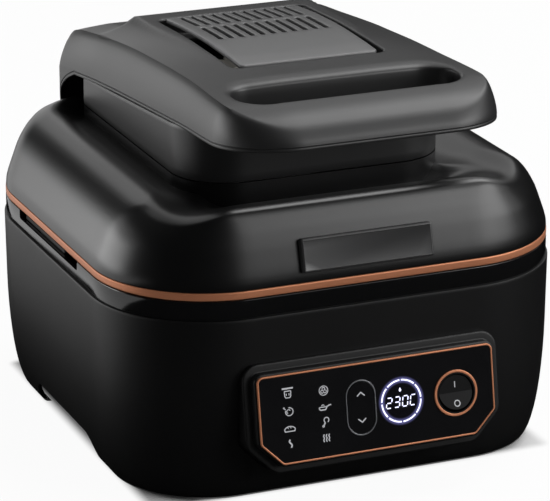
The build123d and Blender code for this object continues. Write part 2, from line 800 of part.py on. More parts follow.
def make_lid_hinge_arm():
    half = HINGE_BARREL_HALF
    arm = cross_rod(HINGE_BARREL_R, -half, half, HINGE_Y, HINGE_Z)
    points = [
        (COVER_BACK, HINGE_Z),
        (HINGE_Y, HINGE_Z),
        (HINGE_Y + 4, HINGE_Z + HINGE_BARREL_R - 1),
        (HINGE_Y - 3, ARM_TOP - 16),
        (HINGE_Y - 8, ARM_TOP),
        (COVER_BACK, ARM_TOP),
    ]
    arm += extrude(Plane.YZ * make_face(Polyline(*points, close=True)), ARM_HALF, both=True)
    arm -= dome_body() + box(-SPAN, SPAN, 0, COVER_BACK, HINGE_Z - 20, ARM_TOP + 1)
    arm -= prism(*ring_outline(-FIT), HINGE_Z - 20, RING_Z + RING_H)
    return arm - cross_rod(HINGE_PIN_R + RUNNING, -half - 1, half + 1, HINGE_Y, HINGE_Z)


def make_cord_gland():
    wall = RING_D / 2 - shell_inset(GLAND_Z)
    place = Pos(GLAND_X, 0, GLAND_Z)
    turn = Rot(-90, 0, 0)
    neck_back = wall + 12
    neck_front = wall - SHELL_WALL - 8
    neck = Pos(0, (neck_back + neck_front) / 2, 0) * (turn * Cylinder(GLAND_HOLE_R - FIT, neck_back - neck_front))
    collar = Pos(0, wall + 3 + FIT, 0) * (turn * Cylinder(GLAND_R, 6))
    nut = Pos(0, wall - SHELL_WALL - 3 - FIT, 0) * (turn * Cylinder(GLAND_R, 6))
    bore = Pos(0, wall, 0) * (turn * Cylinder(3.6, 60))
    return place * (neck + collar + nut - bore)


# Lid shells

def dome_levels(shrink):
    """Plan outlines from the ring up the wall, over the shoulder and across the shelf."""
    base_z = RING_Z + RING_H
    lean = radians(DOME_LEAN)
    centre_z = SHELF_Z - SHOULDER_R
    tangent_z = centre_z + SHOULDER_R * sin(lean)
    centre_inset = (tangent_z - base_z) * tan(lean) + SHOULDER_R * cos(lean)
    radius = SHOULDER_R - shrink
    levels = [(shrink / cos(lean), base_z)]
    steps = 7
    for step in range(steps + 1):
        angle = lean + (pi / 2 - lean) * step / steps
        levels.append((centre_inset - radius * cos(angle), centre_z + radius * sin(angle)))
    result = []
    for inset, z in levels:
        half_d = RING_D / 2 - shrink - DOME_FRONT_RATE * (inset - shrink)
        corner = RING_R - DOME_CORNER_RATE * inset
        result.append((RING_W / 2 - inset, -half_d, half_d, corner, z))
    return result


def neck_outline(grow):
    return (NECK_HALF_W + grow, NECK_FRONT - grow, NECK_BACK + grow, NECK_R + grow)


VALLEY_OUT = 11.0
VALLEY_IN = 3.0


def dome_body():
    levels = dome_levels(0)
    levels.append(neck_outline(VALLEY_OUT)[:3] + (NECK_R, VALLEY_Z))
    levels.append(neck_outline(VALLEY_IN)[:3] + (NECK_R, VALLEY_Z + 0.4))
    levels.append(neck_outline(0) + (NECK_Z,))
    return stack(levels)


def make_lid_dome():
    hollow = dome_levels(DOME_WALL)
    hollow.append(neck_outline(VALLEY_OUT)[:3] + (NECK_R, VALLEY_Z - DOME_WALL))
    dome = dome_body() - stack(hollow)
    return dome - prism(*neck_outline(-NECK_WALL), VALLEY_Z - 10, NECK_Z + 1)


def make_trim_ring():
    ring = prism(*ring_outline(0), RING_Z, RING_Z + RING_H)
    return ring - prism(*ring_outline(RING_T), RING_Z - 1, RING_Z + RING_H + 1)


def skirt_z(y):
    """Height of the cover's lower edge, which rises towards the handle."""
    rate = (SKIRT_FRONT_Z - SKIRT_BACK_Z) / (SKIRT_BACK_Y - COVER_FRONT)
    return SKIRT_FRONT_Z - rate * (y - COVER_FRONT)


def below_skirt(drop):
    """Everything under the cover's lower edge, lowered by drop."""
    front = COVER_FRONT - 60
    back = COVER_BACK + 60
    points = [(front, 100), (back, 100), (back, skirt_z(back) - drop), (front, skirt_z(front) - drop)]
    face = Plane.YZ * make_face(Polyline(*points, close=True))
    return extrude(face, SPAN / 2, both=True)


def make_lid_neck():
    """Upright wall that ends just under the skirt, with a lip that reaches up inside it."""
    high = SKIRT_FRONT_Z + 20
    neck = prism(*neck_outline(0), NECK_Z, high) & below_skirt(NECK_SEAM)
    neck += prism(*neck_outline(-NECK_STEP), NECK_Z, high) & below_skirt(-NECK_LIP)
    neck -= prism(*neck_outline(-NECK_STEP - NECK_WALL), NECK_Z - 1, high)
    hollow = prism(*neck_outline(-NECK_WALL), NECK_Z - 1, high)
    return neck - (hollow & below_skirt(NECK_SEAM + NECK_WALL))


def cover_plan(shrink):
    front = COVER_FRONT + shrink
    back = COVER_BACK - shrink
    points = [
        (-COVER_FRONT_HALF + shrink, front),
        (COVER_FRONT_HALF - shrink, front),
        (COVER_BACK_HALF - shrink, back),
        (-COVER_BACK_HALF + shrink, back),
    ]
    face = make_face(Polyline(*points, close=True))
    rows = face.vertices().group_by(Axis.Y)
    face = fillet(rows[0], COVER_FRONT_R - shrink)
    face = fillet(face.vertices().group_by(Axis.Y)[-1], COVER_BACK_R - shrink)
    return Pos(0, 0, 150) * face


def cover_side(shrink, closed_under):
    """Side view of the cover: nose, crest, plateau and the spine that runs down behind the dome."""
    front = COVER_FRONT + shrink
    back = COVER_BACK - shrink
    nose = (NOSE_Y + shrink / 2, NOSE_Z - shrink)
    nose_z = (SKIRT_FRONT_Z + 2 * NOSE_Z) / 3 - 0.5 - shrink
    nose_mid = ((2 * COVER_FRONT + NOSE_Y) / 3 + 2 + shrink, nose_z)
    crest = (CREST_Y, CREST_Z - shrink)
    plateau = (PLATEAU_Y, PLATEAU_Z - shrink)
    step = (PLATEAU_Y + 8, PLATEAU_Z - 7 - shrink)
    back_top = (BACK_TOP_Y, BACK_TOP_Z - shrink)
    back_mid = (COVER_BACK - 10 - 0.8 * shrink, BACK_TOP_Z - 15 - 0.7 * shrink)
    back_low = (back, BACK_TURN_Z)
    edges = [
        ThreePointArc((front, SKIRT_FRONT_Z), nose_mid, nose),
        Line(nose, crest),
        Line(crest, plateau),
        Line(plateau, step),
        Line(step, back_top),
        ThreePointArc(back_top, back_mid, back_low),
    ]
    if closed_under:
        turn = (SPINE_Y, SPINE_TURN_Z)
        skirt_end = (SKIRT_BACK_Y, skirt_z(SKIRT_BACK_Y))
        turn_mid = (SPINE_Y - 8.5, (SPINE_TURN_Z + skirt_end[1]) / 2 + 3)
        edges += [
            Line(back_low, (back, SPINE_Z)),
            Line((back, SPINE_Z), (SPINE_Y - 20, SPINE_Z)),
            Line((SPINE_Y - 20, SPINE_Z), (SPINE_Y - 20, SPINE_Z + 5)),
            Line((SPINE_Y - 20, SPINE_Z + 5), (SPINE_Y, SPINE_TURN_Z - 20)),
            Line((SPINE_Y, SPINE_TURN_Z - 20), turn),
            ThreePointArc(turn, turn_mid, skirt_end),
            Line(skirt_end, (front, SKIRT_FRONT_Z)),
        ]
    else:
        edges += [
            Line(back_low, (back, RING_Z)),
            Line((back, RING_Z), (front, RING_Z)),
            Line((front, RING_Z), (front, SKIRT_FRONT_Z)),
        ]
    face = Plane.YZ * make_face(Wire(edges))
    return extrude(face, SPAN / 2, both=True)


def cover_section(shrink, y, hip, crease, crease_z, crown, crown_z):
    """Front view of the cover at one place along it, from the spine up to the crown."""
    edge = NECK_HALF_W - shrink
    right = [
        (edge + hip, RING_Z),
        (edge + hip, skirt_z(y)),
        (edge + crease, crease_z - shrink / 2),
        (NECK_HALF_W + crown, crown_z - shrink),
    ]
    left = [(-x, z) for x, z in reversed(right)]
    plane = Plane(origin=(0, y, 0), x_dir=(1, 0, 0), z_dir=(0, -1, 0))
    return plane * make_face(Polyline(*right, *left, close=True))


def cover_front_view(shrink):
    return loft([cover_section(shrink, *section) for section in COVER_SECTIONS], ruled=True)


def cover_body(shrink, closed_under):
    body = extrude(cover_plan(shrink), 200)
    body &= cover_side(shrink, closed_under)
    return body & cover_front_view(shrink)


def slot_prism(grow, z0, z1):
    return prism(SLOT_HALF + grow, SLOT_FRONT - grow, SLOT_BACK + grow, SLOT_R + grow, z0, z1)


def well_prism(grow, z0, z1):
    gap = WELL_GAP + grow
    return prism(
        VENT_HALF_W + gap, VENT_Y - VENT_HALF_D - gap, VENT_Y + VENT_HALF_D + gap,
        max(1.0, VENT_R + gap), z0, z1,
    )


WELL_FLOOR = VENT_LOW - WELL_DEPTH


def vent_posts():
    return [
        (x * (VENT_HALF_W - 5), VENT_Y + y * (VENT_HALF_D - 5))
        for x in (-1, 1)
        for y in (-1, 1)
    ]


def make_top_cover():
    solid = cover_body(0, True)
    cover = solid - cover_body(COVER_WALL, False)
    collar = slot_prism(COLLAR_WALL, 150, 320) & solid
    cover += collar
    well = well_prism(WELL_WALL, WELL_FLOOR, 320) & solid
    cover += well
    cover -= slot_prism(0, 150, 320)
    cover -= well_prism(0, WELL_FLOOR + WELL_WALL, 320)
    cover -= well_prism(-WELL_GAP - WELL_LIP, WELL_FLOOR - 1, 320)
    for x, y in vent_posts():
        cover += rod(4, WELL_FLOOR, VENT_LOW, x, y)
    return cover - dome_body()


def make_handle_lower_shell():
    """Floor that closes the handle from below, between the nose and the neck."""
    gap = COVER_WALL + FIT
    floor = cover_body(gap, False)
    floor &= below_skirt(-LOWER_SHELL_T) - below_skirt(0)
    floor &= box(-SPAN, SPAN, COVER_FRONT, NECK_FRONT - FIT, 150, 320)
    return floor - slot_prism(COLLAR_WALL + FIT, 150, 320)


def vent_side(drop, low):
    """Side view of the crowned vent plate, lowered by drop, down to a flat underside."""
    front = VENT_Y - VENT_HALF_D
    back = VENT_Y + VENT_HALF_D
    crest = (VENT_CREST_Y, VENT_CREST_Z - drop)
    edges = [
        ThreePointArc((front, VENT_FRONT_Z - drop), crest, (back, VENT_BACK_Z - drop)),
        Line((back, VENT_BACK_Z - drop), (back, low)),
        Line((back, low), (front, low)),
        Line((front, low), (front, VENT_FRONT_Z - drop)),
    ]
    return extrude(Plane.YZ * make_face(Wire(edges)), VENT_HALF_W, both=True)


def make_vent_grille():
    front = VENT_Y - VENT_HALF_D
    back = VENT_Y + VENT_HALF_D
    plate = vent_side(0, VENT_LOW)
    plate &= prism(VENT_HALF_W, front, back, VENT_R, VENT_LOW, VENT_CREST_Z + 1)
    half = VENT_HALF_W - VENT_RIM
    inside = box(-half, half, front + VENT_RIM, back - VENT_RIM, VENT_LOW - 1, VENT_CREST_Z)
    plate -= vent_side(VENT_SKIN, VENT_LOW - 1) & inside
    for row in SLIT_ROWS_Y:
        for index in range(SLIT_COUNT):
            x = (index - (SLIT_COUNT - 1) / 2) * SLIT_PITCH
            slit = SlotOverall(SLIT_L, SLIT_W, 90)
            plate -= extrude(Pos(x, row, VENT_LOW - 1) * slit, 10)
    for x, y in vent_posts():
        plate += rod(4, VENT_LOW, VENT_BACK_Z - 1, x, y)
    return plate


def make_badge_plate():
    lean = radians(BADGE_LEAN)
    wall = RING_D / 2 - DOME_FRONT_RATE * (BADGE_Z - RING_Z - RING_H) * tan(radians(DOME_LEAN))
    plane = Plane(
        origin=(0, -wall - BADGE_T, BADGE_Z),
        x_dir=(1, 0, 0),
        z_dir=(0, -cos(lean), sin(lean)),
    )
    badge = extrude(plane * RectangleRounded(BADGE_W, BADGE_H, 1.5), -BADGE_T - 8)
    return badge - dome_body()


# Inside the lid

def make_lid_liner():
    top = cavity_outline(-LINER_SHRINK)
    outer = stack([
        cavity_outline(0) + (FLANGE_Z,),
        cavity_outline(-4) + (FLANGE_Z + 12,),
        top + (LINER_TOP,),
    ])
    outer += prism(*ring_outline(RING_T), FLANGE_Z, FLANGE_Z + LINER_T)
    inner = stack([
        cavity_outline(-LINER_T) + (FLANGE_Z - 0.1,),
        cavity_outline(-4 - LINER_T) + (FLANGE_Z + 12,),
        cavity_outline(-LINER_SHRINK - LINER_T) + (LINER_TOP - LINER_T,),
    ])
    liner = outer - inner
    liner -= rod(SHAFT_HOLE_R, LINER_TOP - 5, LINER_TOP + 5, 0, FAN_Y)
    for x in coil_terminals():
        liner -= rod(COIL_TUBE_R + FIT, LINER_TOP - 5, LINER_TOP + 5, x, FAN_Y)
    return liner


def make_lid_seal():
    low = BEZEL_TOP + SEAL_GAP
    seal = prism(*cavity_outline(SEAL_SET + SEAL_W), low, FLANGE_Z)
    return seal - prism(*cavity_outline(SEAL_SET), low - 1, FLANGE_Z + 1)


def coil_terminals():
    inner = UPPER_COIL_R - UPPER_COIL_STEP * UPPER_COIL_HALF_TURNS
    return (UPPER_COIL_R, inner)


def make_upper_element():
    """Two turns of heater tube in a flat spiral, with both ends turned up through the liner."""
    arcs = []
    x = UPPER_COIL_R
    for index in range(UPPER_COIL_HALF_TURNS):
        radius = UPPER_COIL_R - UPPER_COIL_STEP * index
        side = 1 if index % 2 == 0 else -1
        centre = x - side * radius
        start, end = (x, 0), (x - side * 2 * radius, 0)
        arcs.append(ThreePointArc(start, (centre, side * radius), end))
        x = end[0]
    path = Wire(arcs)
    section = Plane(origin=(UPPER_COIL_R, 0, 0), z_dir=(0, 1, 0)) * Circle(COIL_TUBE_R)
    spiral = Pos(0, FAN_Y, UPPER_COIL_Z) * sweep(section, path)
    for end in (UPPER_COIL_R, x):
        spiral += rod(COIL_TUBE_R, UPPER_COIL_Z, LINER_TOP + 12, end, FAN_Y)
        spiral += Pos(end, FAN_Y, UPPER_COIL_Z) * Sphere(COIL_TUBE_R)
    return spiral


CLIP_ANGLES = (30, 150, 270)


def make_element_clips():
    """Steel hangers that hold the spiral's outer turn under the liner."""
    clips = []
    inner_top = LINER_TOP - LINER_T
    for angle in CLIP_ANGLES:
        radius = UPPER_COIL_R if angle < 180 else UPPER_COIL_R - UPPER_COIL_STEP
        place = Pos(0, FAN_Y, 0) * Rot(0, 0, angle)
        low = UPPER_COIL_Z + COIL_TUBE_R + 0.1
        hanger = box(radius - 5, radius + 5, -4, 4, low, low + 1.2)
        hanger += box(radius - 0.6, radius + 0.6, -4, 4, low, inner_top)
        clips.append(place * hanger)
    return Compound(children=clips)


def make_fan_guard():
    high = LINER_TOP - LINER_T
    guard = rod(GUARD_R, GUARD_Z, high, 0, FAN_Y)
    guard -= rod(GUARD_R - GUARD_T, GUARD_Z + GUARD_T, high + 1, 0, FAN_Y)
    guard -= tube(GUARD_R + 1, GUARD_R - GUARD_T - 1, GUARD_Z + 6, high - 5, 0, FAN_Y) & box(
        -SPAN, SPAN, FAN_Y - 20, FAN_Y + 20, GUARD_Z, high
    )
    for ring, count in ((14, 6), (27, 12), (40, 18)):
        for index in range(count):
            angle = 2 * pi * index / count
            x = ring * cos(angle)
            y = FAN_Y + ring * sin(angle)
            guard -= rod(4.6, GUARD_Z - 1, GUARD_Z + GUARD_T + 1, x, y)
    return guard


def blade_ring(inner, outer, low, high, count, thickness, pitch):
    blades = []
    for index in range(count):
        blade = box(inner, outer, -thickness / 2, thickness / 2, low, high)
        place = Pos(0, FAN_Y, 0) * Rot(0, 0, 360 * index / count)
        middle = Pos(0, 0, (low + high) / 2)
        blades.append(place * (middle * (Rot(pitch, 0, 0) * (middle.inverse() * blade))))
    return blades


def make_convection_fan():
    low = FAN_TOP - FAN_PLATE_T - FAN_BLADE_H
    fan = rod(FAN_R, FAN_TOP - FAN_PLATE_T, FAN_TOP, 0, FAN_Y)
    fan += rod(9, low, FAN_TOP, 0, FAN_Y)
    for blade in blade_ring(12, FAN_R - 1, low, FAN_TOP - 0.5, FAN_BLADES, 1.2, 0):
        fan += blade
    return fan - rod(SHAFT_R, low - 1, FAN_TOP + 1, 0, FAN_Y)


def make_motor_shaft():
    low = FAN_TOP - FAN_PLATE_T - FAN_BLADE_H
    return rod(SHAFT_R, low, COOLER_Z + COOLER_H + 2, 0, FAN_Y)


def make_cooling_fan():
    fan = rod(8, COOLER_Z, COOLER_Z + COOLER_H, 0, FAN_Y)
    blades = blade_ring(6, COOLER_R, COOLER_Z, COOLER_Z + COOLER_H, COOLER_BLADES, 1.4, 40)
    for blade in blades:
        fan += blade
    fan &= rod(COOLER_R, COOLER_Z, COOLER_Z + COOLER_H, 0, FAN_Y)
    return fan - rod(SHAFT_R, COOLER_Z - 1, COOLER_Z + COOLER_H + 1, 0, FAN_Y)


def make_heat_shield():
    half = SHIELD_HALF
    shield = prism(half, FAN_Y - half, FAN_Y + half, 20, SHIELD_Z, SHIELD_Z + SHIELD_T)
    for x, y in bracket_places():
        shield += rod(5, LINER_TOP, SHIELD_Z, x, y)
    shield -= rod(SHAFT_HOLE_R, SHIELD_Z - 1, SHIELD_Z + 5, 0, FAN_Y)
    for x in coil_terminals():
        shield -= rod(COIL_TUBE_R + 2, SHIELD_Z - 1, SHIELD_Z + 5, x, FAN_Y)
    return shield


def bracket_places():
    return [(x * BRACKET_HALF, FAN_Y + y * BRACKET_HALF) for x in (-1, 1) for y in (-1, 1)]


def make_motor_bracket():
    reach = BRACKET_HALF + 6
    low = MOTOR_Z - BRACKET_T
    plate = prism(reach, FAN_Y - reach, FAN_Y + reach, 6, low, MOTOR_Z)
    for x, y in bracket_places():
        plate += rod(4, SHIELD_Z + SHIELD_T, low, x, y)
    return plate - rod(SHAFT_HOLE_R, low - 1, MOTOR_Z + 1, 0, FAN_Y)


def make_fan_motor():
    motor = rod(MOTOR_R, MOTOR_Z, MOTOR_Z + MOTOR_H, 0, FAN_Y)
    motor = fillet(motor.edges().group_by(Axis.Z)[-1], 3)
    motor += rod(9, MOTOR_Z + MOTOR_H - 1, MOTOR_Z + MOTOR_H + 4, 0, FAN_Y)
    return motor - rod(SHAFT_R + RUNNING, MOTOR_Z - 1, MOTOR_Z + MOTOR_H + 5, 0, FAN_Y)


def make_lid_thermostat():
    x = -BRACKET_HALF - 20
    low = LINER_TOP
    return rod(8, low, low + 3.6, x, FAN_Y + 30)


MAGNET_X = RING_W / 2 - 57.0
MAGNET_Y = -RING_D / 2 + 30.0


def make_lid_magnet():
    return rod(5, FLANGE_Z + LINER_T, FLANGE_Z + LINER_T + 4, MAGNET_X, MAGNET_Y)


def make_lid_reed_switch():
    low = BEZEL_TOP - BEZEL_WALL - 4
    return box(MAGNET_X - 9, MAGNET_X + 9, MAGNET_Y - 3, MAGNET_Y + 3, low, low + 4)


FOOT_NAMES = ("front_left", "rear_left", "front_right", "rear_right")

NODES = {
    "base_shell": make_base_shell,
    "base_bottom_plate": make_bottom_plate,
    "foot_screws": make_foot_screws,
    "rim_bezel": make_rim_bezel,
    "cavity_liner": make_cavity_liner,
    "hot_plate": make_hot_plate,
    "lower_heating_element": make_lower_element,
    "sensor_cup": make_sensor_cup,
    "sensor_button": make_sensor_button,
    "sensor_spring": make_sensor_spring,
    "cooking_pot": make_cooking_pot,
    "crisper_plate": make_crisper_plate,
    "control_pod": make_control_pod,
    "touch_panel": make_touch_panel,
    "panel_trim": make_panel_trim,
    "key_bezel": make_key_bezel,
    "adjust_key": make_adjust_key,
    "key_cradle": make_key_cradle,
    "display_module": make_display_module,
    "control_board": make_control_board,
    "power_board": make_power_board,
    "rocker_ring": make_rocker_ring,
    "rocker_housing": make_rocker_housing,
    "power_rocker": make_power_rocker,
    "hinge_housing": make_hinge_housing,
    "hinge_bracket_left": lambda: make_hinge_bracket(-1),
    "hinge_bracket_right": lambda: make_hinge_bracket(1),
    "hinge_pin": make_hinge_pin,
    "cord_gland": make_cord_gland,
    "reed_switch": make_lid_reed_switch,
    "lid_dome": make_lid_dome,
    "lid_trim_ring": make_trim_ring,
    "lid_neck": make_lid_neck,
    "lid_top_cover": make_top_cover,
    "handle_lower_shell": make_handle_lower_shell,
    "vent_grille": make_vent_grille,
    "badge_plate": make_badge_plate,
    "lid_hinge_arm": make_lid_hinge_arm,
    "lid_liner": make_lid_liner,
    "lid_seal": make_lid_seal,
    "upper_heating_element": make_upper_element,
    "element_clips": make_element_clips,
    "fan_guard": make_fan_guard,
    "lid_heat_shield": make_heat_shield,
    "motor_bracket": make_motor_bracket,
    "fan_motor": make_fan_motor,
    "lid_thermostat": make_lid_thermostat,
    "lid_magnet": make_lid_magnet,
    "convection_fan": make_convection_fan,
    "motor_shaft": make_motor_shaft,
    "cooling_fan": make_cooling_fan,
}
for name, (foot_x, foot_y) in zip(FOOT_NAMES, foot_places()):
    NODES["foot_" + name] = lambda x=foot_x, y=foot_y: make_foot(x, y)

os.makedirs("parts", exist_ok=True)
for name, make in NODES.items():
    export_step(make(), "parts/" + name + ".step")
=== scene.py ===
import bisect
import bmesh
import bpy
import math
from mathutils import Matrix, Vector
from mathutils.geometry import delaunay_2d_cdt


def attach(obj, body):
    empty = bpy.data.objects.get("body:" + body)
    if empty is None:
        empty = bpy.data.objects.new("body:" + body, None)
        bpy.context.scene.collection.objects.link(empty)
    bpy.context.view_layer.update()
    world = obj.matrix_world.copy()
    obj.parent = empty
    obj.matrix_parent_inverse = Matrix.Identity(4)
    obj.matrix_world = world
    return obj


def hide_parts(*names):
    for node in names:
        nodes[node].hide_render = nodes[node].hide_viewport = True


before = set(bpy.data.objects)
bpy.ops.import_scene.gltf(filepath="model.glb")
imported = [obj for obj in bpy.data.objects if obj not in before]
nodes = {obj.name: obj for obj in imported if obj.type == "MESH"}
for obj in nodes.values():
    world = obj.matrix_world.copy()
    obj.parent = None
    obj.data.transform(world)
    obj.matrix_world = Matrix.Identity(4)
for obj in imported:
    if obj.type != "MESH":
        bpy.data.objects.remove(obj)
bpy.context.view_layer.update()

# Base shell. The outer wall of the base is one black moulding with a fine matt spark-eroded
# skin. It tucks in towards the table, and a shallow arch on each side is a hold for the hand.
MM = 0.001
RING_HALF_W = 175.0
RING_HALF_D = 178.0
RING_CORNER = 86.0
SHELL_BOTTOM = 1.5
SHELL_TOP = 142.0
SHELL_PROUD = 1.5
SHELL_DRAFT = 0.012
SHELL_TUCK = 16.0
SHELL_TUCK_H = 88.0
SHELL_CORNER_RATE = 1.25
SHELL_WALL = 2.8
ARCH_HALF = 64.0
ARCH_H = 22.0
ARCH_R = 16.0
MOULDED_BLACK = (0.004, 0.004, 0.0042, 1)


class Value:
    """One shader socket, so that shader maths reads as plain arithmetic."""

    def __init__(self, finish, socket):
        self.finish = finish
        self.socket = socket

    def maths(self, operation, first, second):
        return self.finish.add("ShaderNodeMath", {"operation": operation}, {0: first, 1: second})

    def __add__(self, other):
        return self.maths("ADD", self, other)

    def __sub__(self, other):
        return self.maths("SUBTRACT", self, other)

    def __rsub__(self, other):
        return self.maths("SUBTRACT", other, self)

    def __mul__(self, other):
        return self.maths("MULTIPLY", self, other)

    def __truediv__(self, other):
        return self.maths("DIVIDE", self, other)

    __radd__ = __add__
    __rmul__ = __mul__


class Finish:
    """A procedural finish on one Principled shader."""

    def __init__(self, name, roughness=0.5, metallic=0.0, colour=(0.5, 0.5, 0.5, 1), **sockets):
        self.material = bpy.data.materials.new(name)
        self.material.use_nodes = True
        self.tree = self.material.node_tree
        self.shader = self.tree.nodes["Principled BSDF"]
        self.shader.inputs["Base Color"].default_value = colour
        self.shader.inputs["Roughness"].default_value = roughness
        self.shader.inputs["Metallic"].default_value = metallic
        for socket, value in sockets.items():
            self.shader.inputs[socket.replace("_", " ")].default_value = value

    def add(self, kind, settings=None, sockets=None, output=0):
        node = self.tree.nodes.new(kind)
        for key, value in (settings or {}).items():
            if key == "stops":
                self.set_stops(node.color_ramp, value)
            else:
                setattr(node, key, value)
        for key, value in (sockets or {}).items():
            self.feed(node.inputs[key], value)
        return Value(self, node.outputs[output])

    def set_stops(self, ramp, stops):
        while len(ramp.elements) < len(stops):
            ramp.elements.new(1)
        for element, (place, colour) in zip(ramp.elements, stops):
            element.position = place
            element.color = colour

    def feed(self, socket, value):
        if isinstance(value, Value):
            self.tree.links.new(value.socket, socket)
        else:
            socket.default_value = value

    def wear(self, socket, value):
        self.feed(self.shader.inputs[socket], value)

    def spot(self):
        return self.add("ShaderNodeTexCoord", output=3)

    def noise(self, per_metre, detail=2.0, place=None):
        sockets = {"Vector": place or self.spot(), "Scale": per_metre, "Detail": detail}
        return self.add("ShaderNodeTexNoise", {}, sockets)

    def stretched(self, scale):
        """Object coordinates stretched, for brushed or drawn marks."""
        return self.add("ShaderNodeMapping", {}, {"Vector": self.spot(), "Scale": scale})

    def mix(self, share, first, second):
        sockets = {0: share, 6: first, 7: second}
        return self.add("ShaderNodeMix", {"data_type": "RGBA"}, sockets, 2)

    def bump(self, height, depth, strength=1.0):
        sockets = {"Height": height, "Distance": depth, "Strength": strength}
        self.wear("Normal", self.add("ShaderNodeBump", {}, sockets))


def moulded(name, colour, roughness, grain=1500.0, depth=0.00003, cloud=0.05, **sockets):
    """Moulded plastic: a fine spark-eroded grain and slow changes of gloss and tone."""
    finish = Finish(name, roughness, 0.0, colour, **sockets)
    slow = finish.noise(14.0, 3.0)
    fine = finish.noise(grain, 3.0)
    darker = tuple(0.86 * c for c in colour[:3]) + (1,)
    lighter = tuple(1.12 * c for c in colour[:3]) + (1,)
    finish.wear("Base Color", finish.mix(slow * 0.6 + fine * 0.4, darker, lighter))
    finish.wear("Roughness", roughness - cloud + slow * cloud * 1.2 + fine * cloud * 0.8)
    finish.bump(fine, depth)
    return finish


def plan_loop(half_w, front, back, corner, back_corner=None, steps=(20, 24, 24)):
    """Points round a rounded rectangle in plan, each with its outward direction."""
    rear = corner if back_corner is None else back_corner
    corner_steps, side_steps, end_steps = steps
    centres = (
        (half_w - rear, back - rear, rear), (rear - half_w, back - rear, rear),
        (corner - half_w, front + corner, corner), (half_w - corner, front + corner, corner),
    )
    arcs = []
    for quarter, (x, y, radius) in enumerate(centres):
        arc = []
        for step in range(corner_steps + 1):
            angle = math.pi / 2 * (quarter + step / corner_steps)
            nx, ny = math.cos(angle), math.sin(angle)
            arc.append((x + radius * nx, y + radius * ny, nx, ny))
        arcs.append(arc)
    points = []
    for quarter, arc in enumerate(arcs):
        points += arc
        end, start = arc[-1], arcs[(quarter + 1) % 4][0]
        count = end_steps if quarter % 2 == 0 else side_steps
        for step in range(1, count):
            share = step / count
            x = end[0] + (start[0] - end[0]) * share
            y = end[1] + (start[1] - end[1]) * share
            points.append((x, y, end[2], end[3]))
    return points


def ring_loop(inset, corner=None, lean=1.0):
    """The machine's plan outline, moved inwards, with a share of that at front and back."""
    radius = RING_CORNER - inset if corner is None else corner
    half_d = RING_HALF_D - inset * lean
    return plan_loop(RING_HALF_W - inset, -half_d, half_d, radius)


def at_height(loop, z):
    return [(point[0], point[1], z) for point in loop]


def add_ring(mesh, points):
    return [mesh.verts.new(Vector(point) * MM) for point in points]


def bridge(mesh, first, second):
    count = len(first)
    for here in range(count):
        after = (here + 1) % count
        mesh.faces.new((first[here], first[after], second[after], second[here]))


def skin(rows, wrap=False, caps=False):
    """Closed mesh through loops of points with equal counts."""
    mesh = bmesh.new()
    rings = [add_ring(mesh, row) for row in rows]
    for first, second in zip(rings, rings[1:]):
        bridge(mesh, first, second)
    if wrap:
        bridge(mesh, rings[-1], rings[0])
    if caps:
        mesh.faces.new(rings[0])
        mesh.faces.new(rings[-1])
    return mesh


def new_object(name, mesh):
    bmesh.ops.recalc_face_normals(mesh, faces=mesh.faces)
    data = bpy.data.meshes.new(name)
    mesh.to_mesh(data)
    mesh.free()
    thing = bpy.data.objects.new(name, data)
    bpy.context.scene.collection.objects.link(thing)
    return thing


def settle(thing):
    """Applies a piece's modifiers to its mesh."""
    bpy.context.view_layer.update()
    shown = thing.evaluated_get(bpy.context.evaluated_depsgraph_get())
    data = bpy.data.meshes.new_from_object(shown)
    thing.modifiers.clear()
    thing.data = data
    return thing


def cut_away(thing, *cutters):
    for cutter in cutters:
        tool = new_object("cutter", cutter)
        change = thing.modifiers.new("cut", "BOOLEAN")
        change.operation = "DIFFERENCE"
        change.solver = "EXACT"
        change.object = tool
        settle(thing)
        bpy.data.objects.remove(tool)
    return thing


def thicken(thing, thickness):
    change = thing.modifiers.new("wall", "SOLIDIFY")
    change.thickness = thickness * MM
    change.offset = -1
    return settle(thing)


def finish_piece(thing, finish, body, slot, *replaced, sharp=36.0):
    """Shades a new piece, gives it its finish and fixes it to its body."""
    data = thing.data
    for face in data.polygons:
        face.use_smooth = True
    data.set_sharp_from_angle(angle=math.radians(sharp))
    data.materials.clear()
    data.materials.append(finish.material)
    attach(thing, body)
    if replaced:
        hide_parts(*replaced)
    return thing


def shell_inset(z):
    drop = max(0.0, SHELL_BOTTOM + SHELL_TUCK_H - z) / SHELL_TUCK_H
    inset = SHELL_DRAFT * (SHELL_TOP - z) - SHELL_PROUD
    return inset + SHELL_TUCK * (1 - math.sqrt(max(0.0, 1 - drop * drop)))


def shell_row(z, wall=0.0, level=None):
    inset = shell_inset(z)
    corner = RING_CORNER - SHELL_CORNER_RATE * inset - wall
    return at_height(ring_loop(inset + wall, corner), z if level is None else level)


def side_prism(half_y, half_z, radius, reach, centre=(0.0, 0.0), steps=(10, 2, 2)):
    """Rounded bar across the whole machine, for cutting both sides at once."""
    loop = plan_loop(half_y, -half_z, half_z, radius, steps=steps)
    ends = [[(x, centre[0] + y, centre[1] + z) for y, z, *_ in loop] for x in (-reach, reach)]
    return skin(ends, caps=True)


